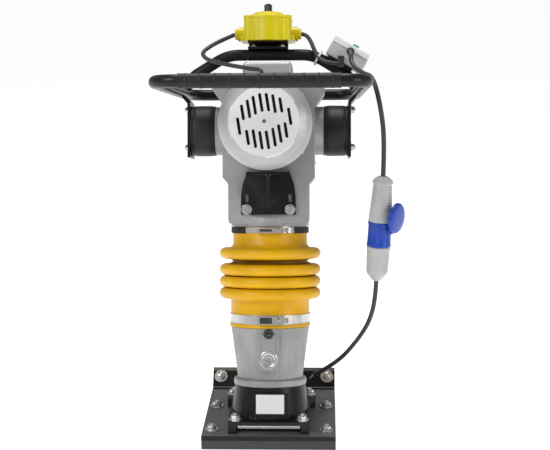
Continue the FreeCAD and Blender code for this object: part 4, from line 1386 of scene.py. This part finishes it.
@dataclass
class MotorUnit:
    """Motor housing, slotted cowl, terminal box and black bracket.

    Attributes:
        fins: Places for fins round the housing.
        bare: Start and end in degrees of the part without fins, under the terminal box.
        fin: Size of one fin.
        fin_radius, fin_place: Where its middle lies off the motor's axis and along it.
        disc: Place along the axis past which the cowl's face takes a painted highlight, a lighter copy of
            its finish.
        rim: Places in degrees of the screws in the cowl's rim.
        bolt_x: Places of the bracket's bolts.
    """

    fins: int = 40
    bare: Pair = (55.0, 125.0)
    fin: Point = (2.6, 4.6, 96.0)
    fin_radius: float = 88.9
    fin_place: float = 146.0
    disc: float = 269.5
    rim: tuple[float, ...] = (38.0, 142.0, 218.0, 322.0)
    bolt_x: Pair = (-46.0, 46.0)

    def housing(self) -> None:
        """Finned housing."""
        softened("motor_housing", Body.UPPER, Finishes.CAST_SILVER, 1.2)
        fin = Shape()
        fin.block(self.fin)
        angles = [360 * k / self.fins for k in range(self.fins)]
        spots = [MOTOR @ turned("Z", angle - 90) @ place(0, self.fin_radius, self.fin_place)
                 for angle in angles if not self.bare[0] < angle < self.bare[1]]
        Repeater.run("motor_fins", fin, spots, Body.UPPER, Finishes.CAST_SILVER, slot="cast_silver",
                     bevel=0.6)

    def cowl(self) -> None:
        """Cowl over the fan with a painted highlight on its face, the terminal box above and the cowl's rim
        screws.
        """
        cowl = softened("fan_cover", Body.UPPER, Finishes.COWL_SILVER, 0.7)
        # The cowl's face takes the painted highlight.
        paint_faces(cowl, Finishes.COWL_FACE_HIGHLIGHT, lambda spot, out: spot.z > self.disc, MOTOR)
        softened("terminal_box", Body.UPPER, Finishes.BLACK_PLASTIC, 1.6)
        rim = [MOTOR @ turned("Z", angle) @ place(95, 0, 212, [("Y", 90)]) for angle in self.rim]
        Repeater.run("rim_heads", Fastener(3.3, 2.0, socket=True).shape(), rim, Body.UPPER,
                     Finishes.ZINC, ["cover_rim_screws"], "zinc")

    def bracket(self) -> None:
        """Black bracket under the motor with its bolts."""
        softened("motor_bracket", Body.UPPER, Finishes.BLACK_PAINT, 1.4)
        spots = [LEAN @ place(x, -88, 426, [("X", 90)]) for x in self.bolt_x]
        bolt = Fastener(8.5, 5.6, 11.0, 1.6)
        Repeater.run("bracket_heads", bolt.shape(), spots, Body.UPPER, Finishes.ZINC,
                     ["bracket_bolts"], "zinc", 1.0, 5, 0.4)
        spots = [LEAN @ place(0, -106, 499, [("X", 180)])]
        Repeater.run("shelf_screw", Fastener(5.0, 4.0, 7.0, 1.2).shape(), spots, Body.UPPER,
                     Finishes.ZINC, (), "zinc", 1.0, 5, 0.3)

    def build(self) -> None:
        """Builds the whole sub-assembly."""
        self.housing()
        self.cowl()
        self.bracket()


@dataclass
class HandleFrame:
    """Loop handle, grip, arch, rubber mounts and their plates.

    Attributes:
        grip: Half length of the grip sleeve.
        wrinkles: Ridge spacing on the sleeve.
        bar: Radius of the sleeve's outside between ridges, and of its bore.
        mount: Place of the rubber mounts' inner faces either side, and their height along the axis.
        plate: Place of the mount plates' outer faces either side.
        bolts: Heights of their bolts along the axis.
        saddle: Middle of the arch's saddle, and its nuts either side.
    """

    grip: float = 150.0
    wrinkles: float = 27.0
    bar: Pair = (13.9, 12.55)
    mount: Pair = (117.0, 597.0)
    plate: float = 176.0
    bolts: Pair = (561.0, 643.0)
    saddle: Pair = (-5.5, 31.0)

    def sleeve(self) -> None:
        """Wrinkled grip sleeve."""
        outside, bore = self.bar
        outer = []
        steps = 360
        for k in range(steps + 1):
            x = -self.grip + 2 * self.grip * k / steps
            ridge = math.exp(-((((x + 13) % self.wrinkles) - self.wrinkles / 2) / 1.7) ** 2)
            slow = 0.25 * math.sin(x / 17.0) + 0.15 * math.sin(x / 6.1)
            end = 0.8 if abs(x) > self.grip - 5 else 0.0
            outer.append((outside + 0.75 * ridge + slow * 0.5 + end * 0.4, x))
        bar = Shape(LEAN @ place(0, -459, 663, [("Y", 90)]))
        bar.lathe([(bore, -self.grip)] + outer + [(bore, self.grip)], 48)
        bar.finish("grip_rubber", Body.HANDLE, Finishes.BLACK_RUBBER, ["grip_sleeve"], "black_rubber",
                   smooth=60)

    def mounts(self) -> None:
        """Rubber mounts, their plates and bolts."""
        face, height = self.mount
        for side, label in ((-1, "left"), (1, "right")):
            part = Shape(LEAN @ place(side * face, 0, height, [("Y", 90 * side)]))
            part.lathe([(0.5, 0.2), (52, 0.2), (54, 0.8), (54.6, 2.4), (53.4, 3.4), (53.4, 5), (54.6, 7),
                        (55, 16), (55, 27), (54.8, 40), (54.4, 46), (53.2, 47.4), (53.2, 48.6),
                        (54.6, 49.6), (54.6, 51.8), (53, 52.8), (0.5, 52.8)], 96)
            part.finish("rubber_block_" + label, Body.HANDLE, Finishes.BLACK_RUBBER,
                        ["rubber_mount_" + label], "black_rubber", smooth=40)
            softened("mount_plate_" + label, Body.HANDLE, Finishes.BLACK_PAINT, 1.2)
        spots = [LEAN @ place(side * self.plate, 0, s, [("Y", 90 * side)])
                 for side in (-1, 1) for s in self.bolts]
        Repeater.run("mount_heads", Fastener(7.6, 6.6, 10.0, 1.8, 4.0, 2.6).shape(), spots,
                     Body.HANDLE, Finishes.ZINC, ["mount_bolts"], "zinc", 1.0, 6, 0.3)

    def build(self) -> None:
        """Builds the whole sub-assembly."""
        softened("handle_loop", Body.HANDLE, Finishes.BLACK_PAINT, 0.0)
        softened("arch_tube", Body.HANDLE, Finishes.BLACK_PAINT, 0.8)
        self.sleeve()
        self.mounts()
        middle, reach = self.saddle
        spots = [LEAN @ place(middle + x, 35, 784) for x in (-reach, reach)]
        Repeater.run("saddle_nuts", Fastener(6.5, 3.6, 8.5, 1.2, 3.4, 1.6).shape(), spots,
                     Body.HANDLE, Finishes.ZINC, ["bracket_nuts"], "zinc", 1.0, 8, 0.3)


@dataclass
class SwitchBox:
    """Yellow switch box with its domed lid, glands and knob.

    Attributes:
        centre: Middle of the box.
        screws: Places of the lid's screws from the middle.
        top: Height of their seats along the axis.
        glands: Places of the gland nuts from the middle, and their height.
        teeth: Grips round a gland nut.
    """

    centre: Pair = (-5.5, 45.0)
    screws: Pair = (40.0, 30.0)
    top: float = 851.0
    glands: Point = (-73.4, 66.0, 814.0)
    teeth: int = 15

    def build(self) -> None:
        """Builds the whole sub-assembly."""
        x, n = self.centre
        softened("switch_body", Body.HANDLE, Finishes.YELLOW_CAST, 3.0)
        softened("switch_lid", Body.HANDLE, Finishes.YELLOW_CAST, 2.4)
        softened("switch_knob", Body.KNOB, Finishes.BLACK_PLASTIC, 1.0)
        across, along = self.screws
        spots = [LEAN @ place(x + u, n + v, self.top)
                 for u in (-across, across) for v in (-along, along)]
        Repeater.run("lid_heads", Fastener(4.6, 2.6, socket=True).shape(), spots, Body.HANDLE,
                     Finishes.ZINC, slot="zinc")
        nut = Shape()
        nut.lathe([(4.8, 0), (11.4, 0), (12, 0.8), (12, 6.2), (10.4, 7.4), (4.8, 7.4)], 60,
                  warp=lambda a, r, z: r - (0.9 if r > 10 and math.sin(self.teeth * a) > 0 else 0.0))
        *sides, height = self.glands
        spots = [LEAN @ place(x + u, n, height, [("Y", 90)]) for u in sides]
        Repeater.run("gland_nuts", nut, spots, Body.HANDLE, Finishes.YELLOW_CAST, ["switch_glands"],
                     "yellow_cast", bevel=0.2)


@dataclass
class Isolator:
    """Grey box with its white lid and green button.

    Attributes:
        screws_x, screws_y: Places of the lid's screws.
        top: Height of their seats.
    """

    screws_x: Pair = (-37.0, 37.0)
    screws_y: Pair = (7.0, 55.0)
    top: float = 22.0

    def build(self) -> None:
        """Builds the whole sub-assembly."""
        softened("isolator_case", Body.HANDLE, Finishes.GREY_PLASTIC, 2.4)
        softened("isolator_lid", Body.HANDLE, Finishes.WHITE_PLASTIC, 2.6)
        softened("isolator_glands", Body.HANDLE, Finishes.BLACK_PLASTIC, 1.0)
        softened("start_button", Body.BUTTON, Finishes.GREEN_PLASTIC, 1.0)
        spots = [ISOLATOR @ place(x, y, self.top) for x in self.screws_x for y in self.screws_y]
        Repeater.run("isolator_screws", Fastener(2.8, 0.8, socket=True).shape(), spots, Body.HANDLE,
                     Finishes.ZINC, slot="zinc")


@dataclass
class Mechanism:
    """What runs inside: springs, piston, gears, crank, rotor and bearings.

    Attributes:
        lower, upper: Where along the axis each spring starts and ends.
    """

    lower: Pair = (62.0, 183.0)
    upper: Pair = (201.0, 318.0)

    def spring(self, node: str, reach: Pair, first: Body, second: Body) -> None:
        """A coil on no body; the places of its two ends are worked out but not used.

        Args:
            node: CAD node of the coil.
            reach: Where along the axis it starts and ends.
            first, second: The bodies at its two ends; not used.
        """
        obj = softened(node, None, Finishes.SPRING, 0.0)
        start, end = (metres(LEAN, (0, 0, s)) for s in reach)
        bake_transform(obj)
        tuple(start)
        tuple(end)

    def build(self) -> None:
        """Shades the inner nodes and builds both springs."""
        self.spring("lower_spring", self.lower, Body.FOOT, Body.UPPER)
        self.spring("upper_spring", self.upper, Body.UPPER, Body.FOOT)
        looks = {Finishes.BRIGHT: ("spring_tube", "piston_rod", "guide_sleeve", "shaft_bearings",
                                   "motor_rotor", "motor_pinion", "crank_gear", "connecting_rod"),
                 Finishes.WINDING: ("motor_stator",), Finishes.BLACK_PLASTIC: ("cooling_fan",)}
        for finish, names in looks.items():
            for name in names:
                paint(NODES[name], finish)
                LOG.info("shaded %s", name)


def main() -> None:
    """Builds the scene in order: studio, cords, then the machine from the ground up."""
    logging.basicConfig(level=logging.INFO, format="%(message)s")
    Studio().build()
    CordSet().build()
    HeldLeads().build()
    Sole().build()
    FootCasting().build()
    SpringHousing().build()
    Bellows().build()
    BandClamp("upper_band", "upper_clamp", Body.UPPER, 81.0, 375.5, 387.5, True).build()
    BandClamp("lower_band", "lower_clamp", Body.FOOT, 86.0, 180.5, 200.5).build()
    Crankcase().build()
    MotorUnit().build()
    HandleFrame().build()
    SwitchBox().build()
    Isolator().build()
    Mechanism().build()


if __name__ == "__main__":
    main()
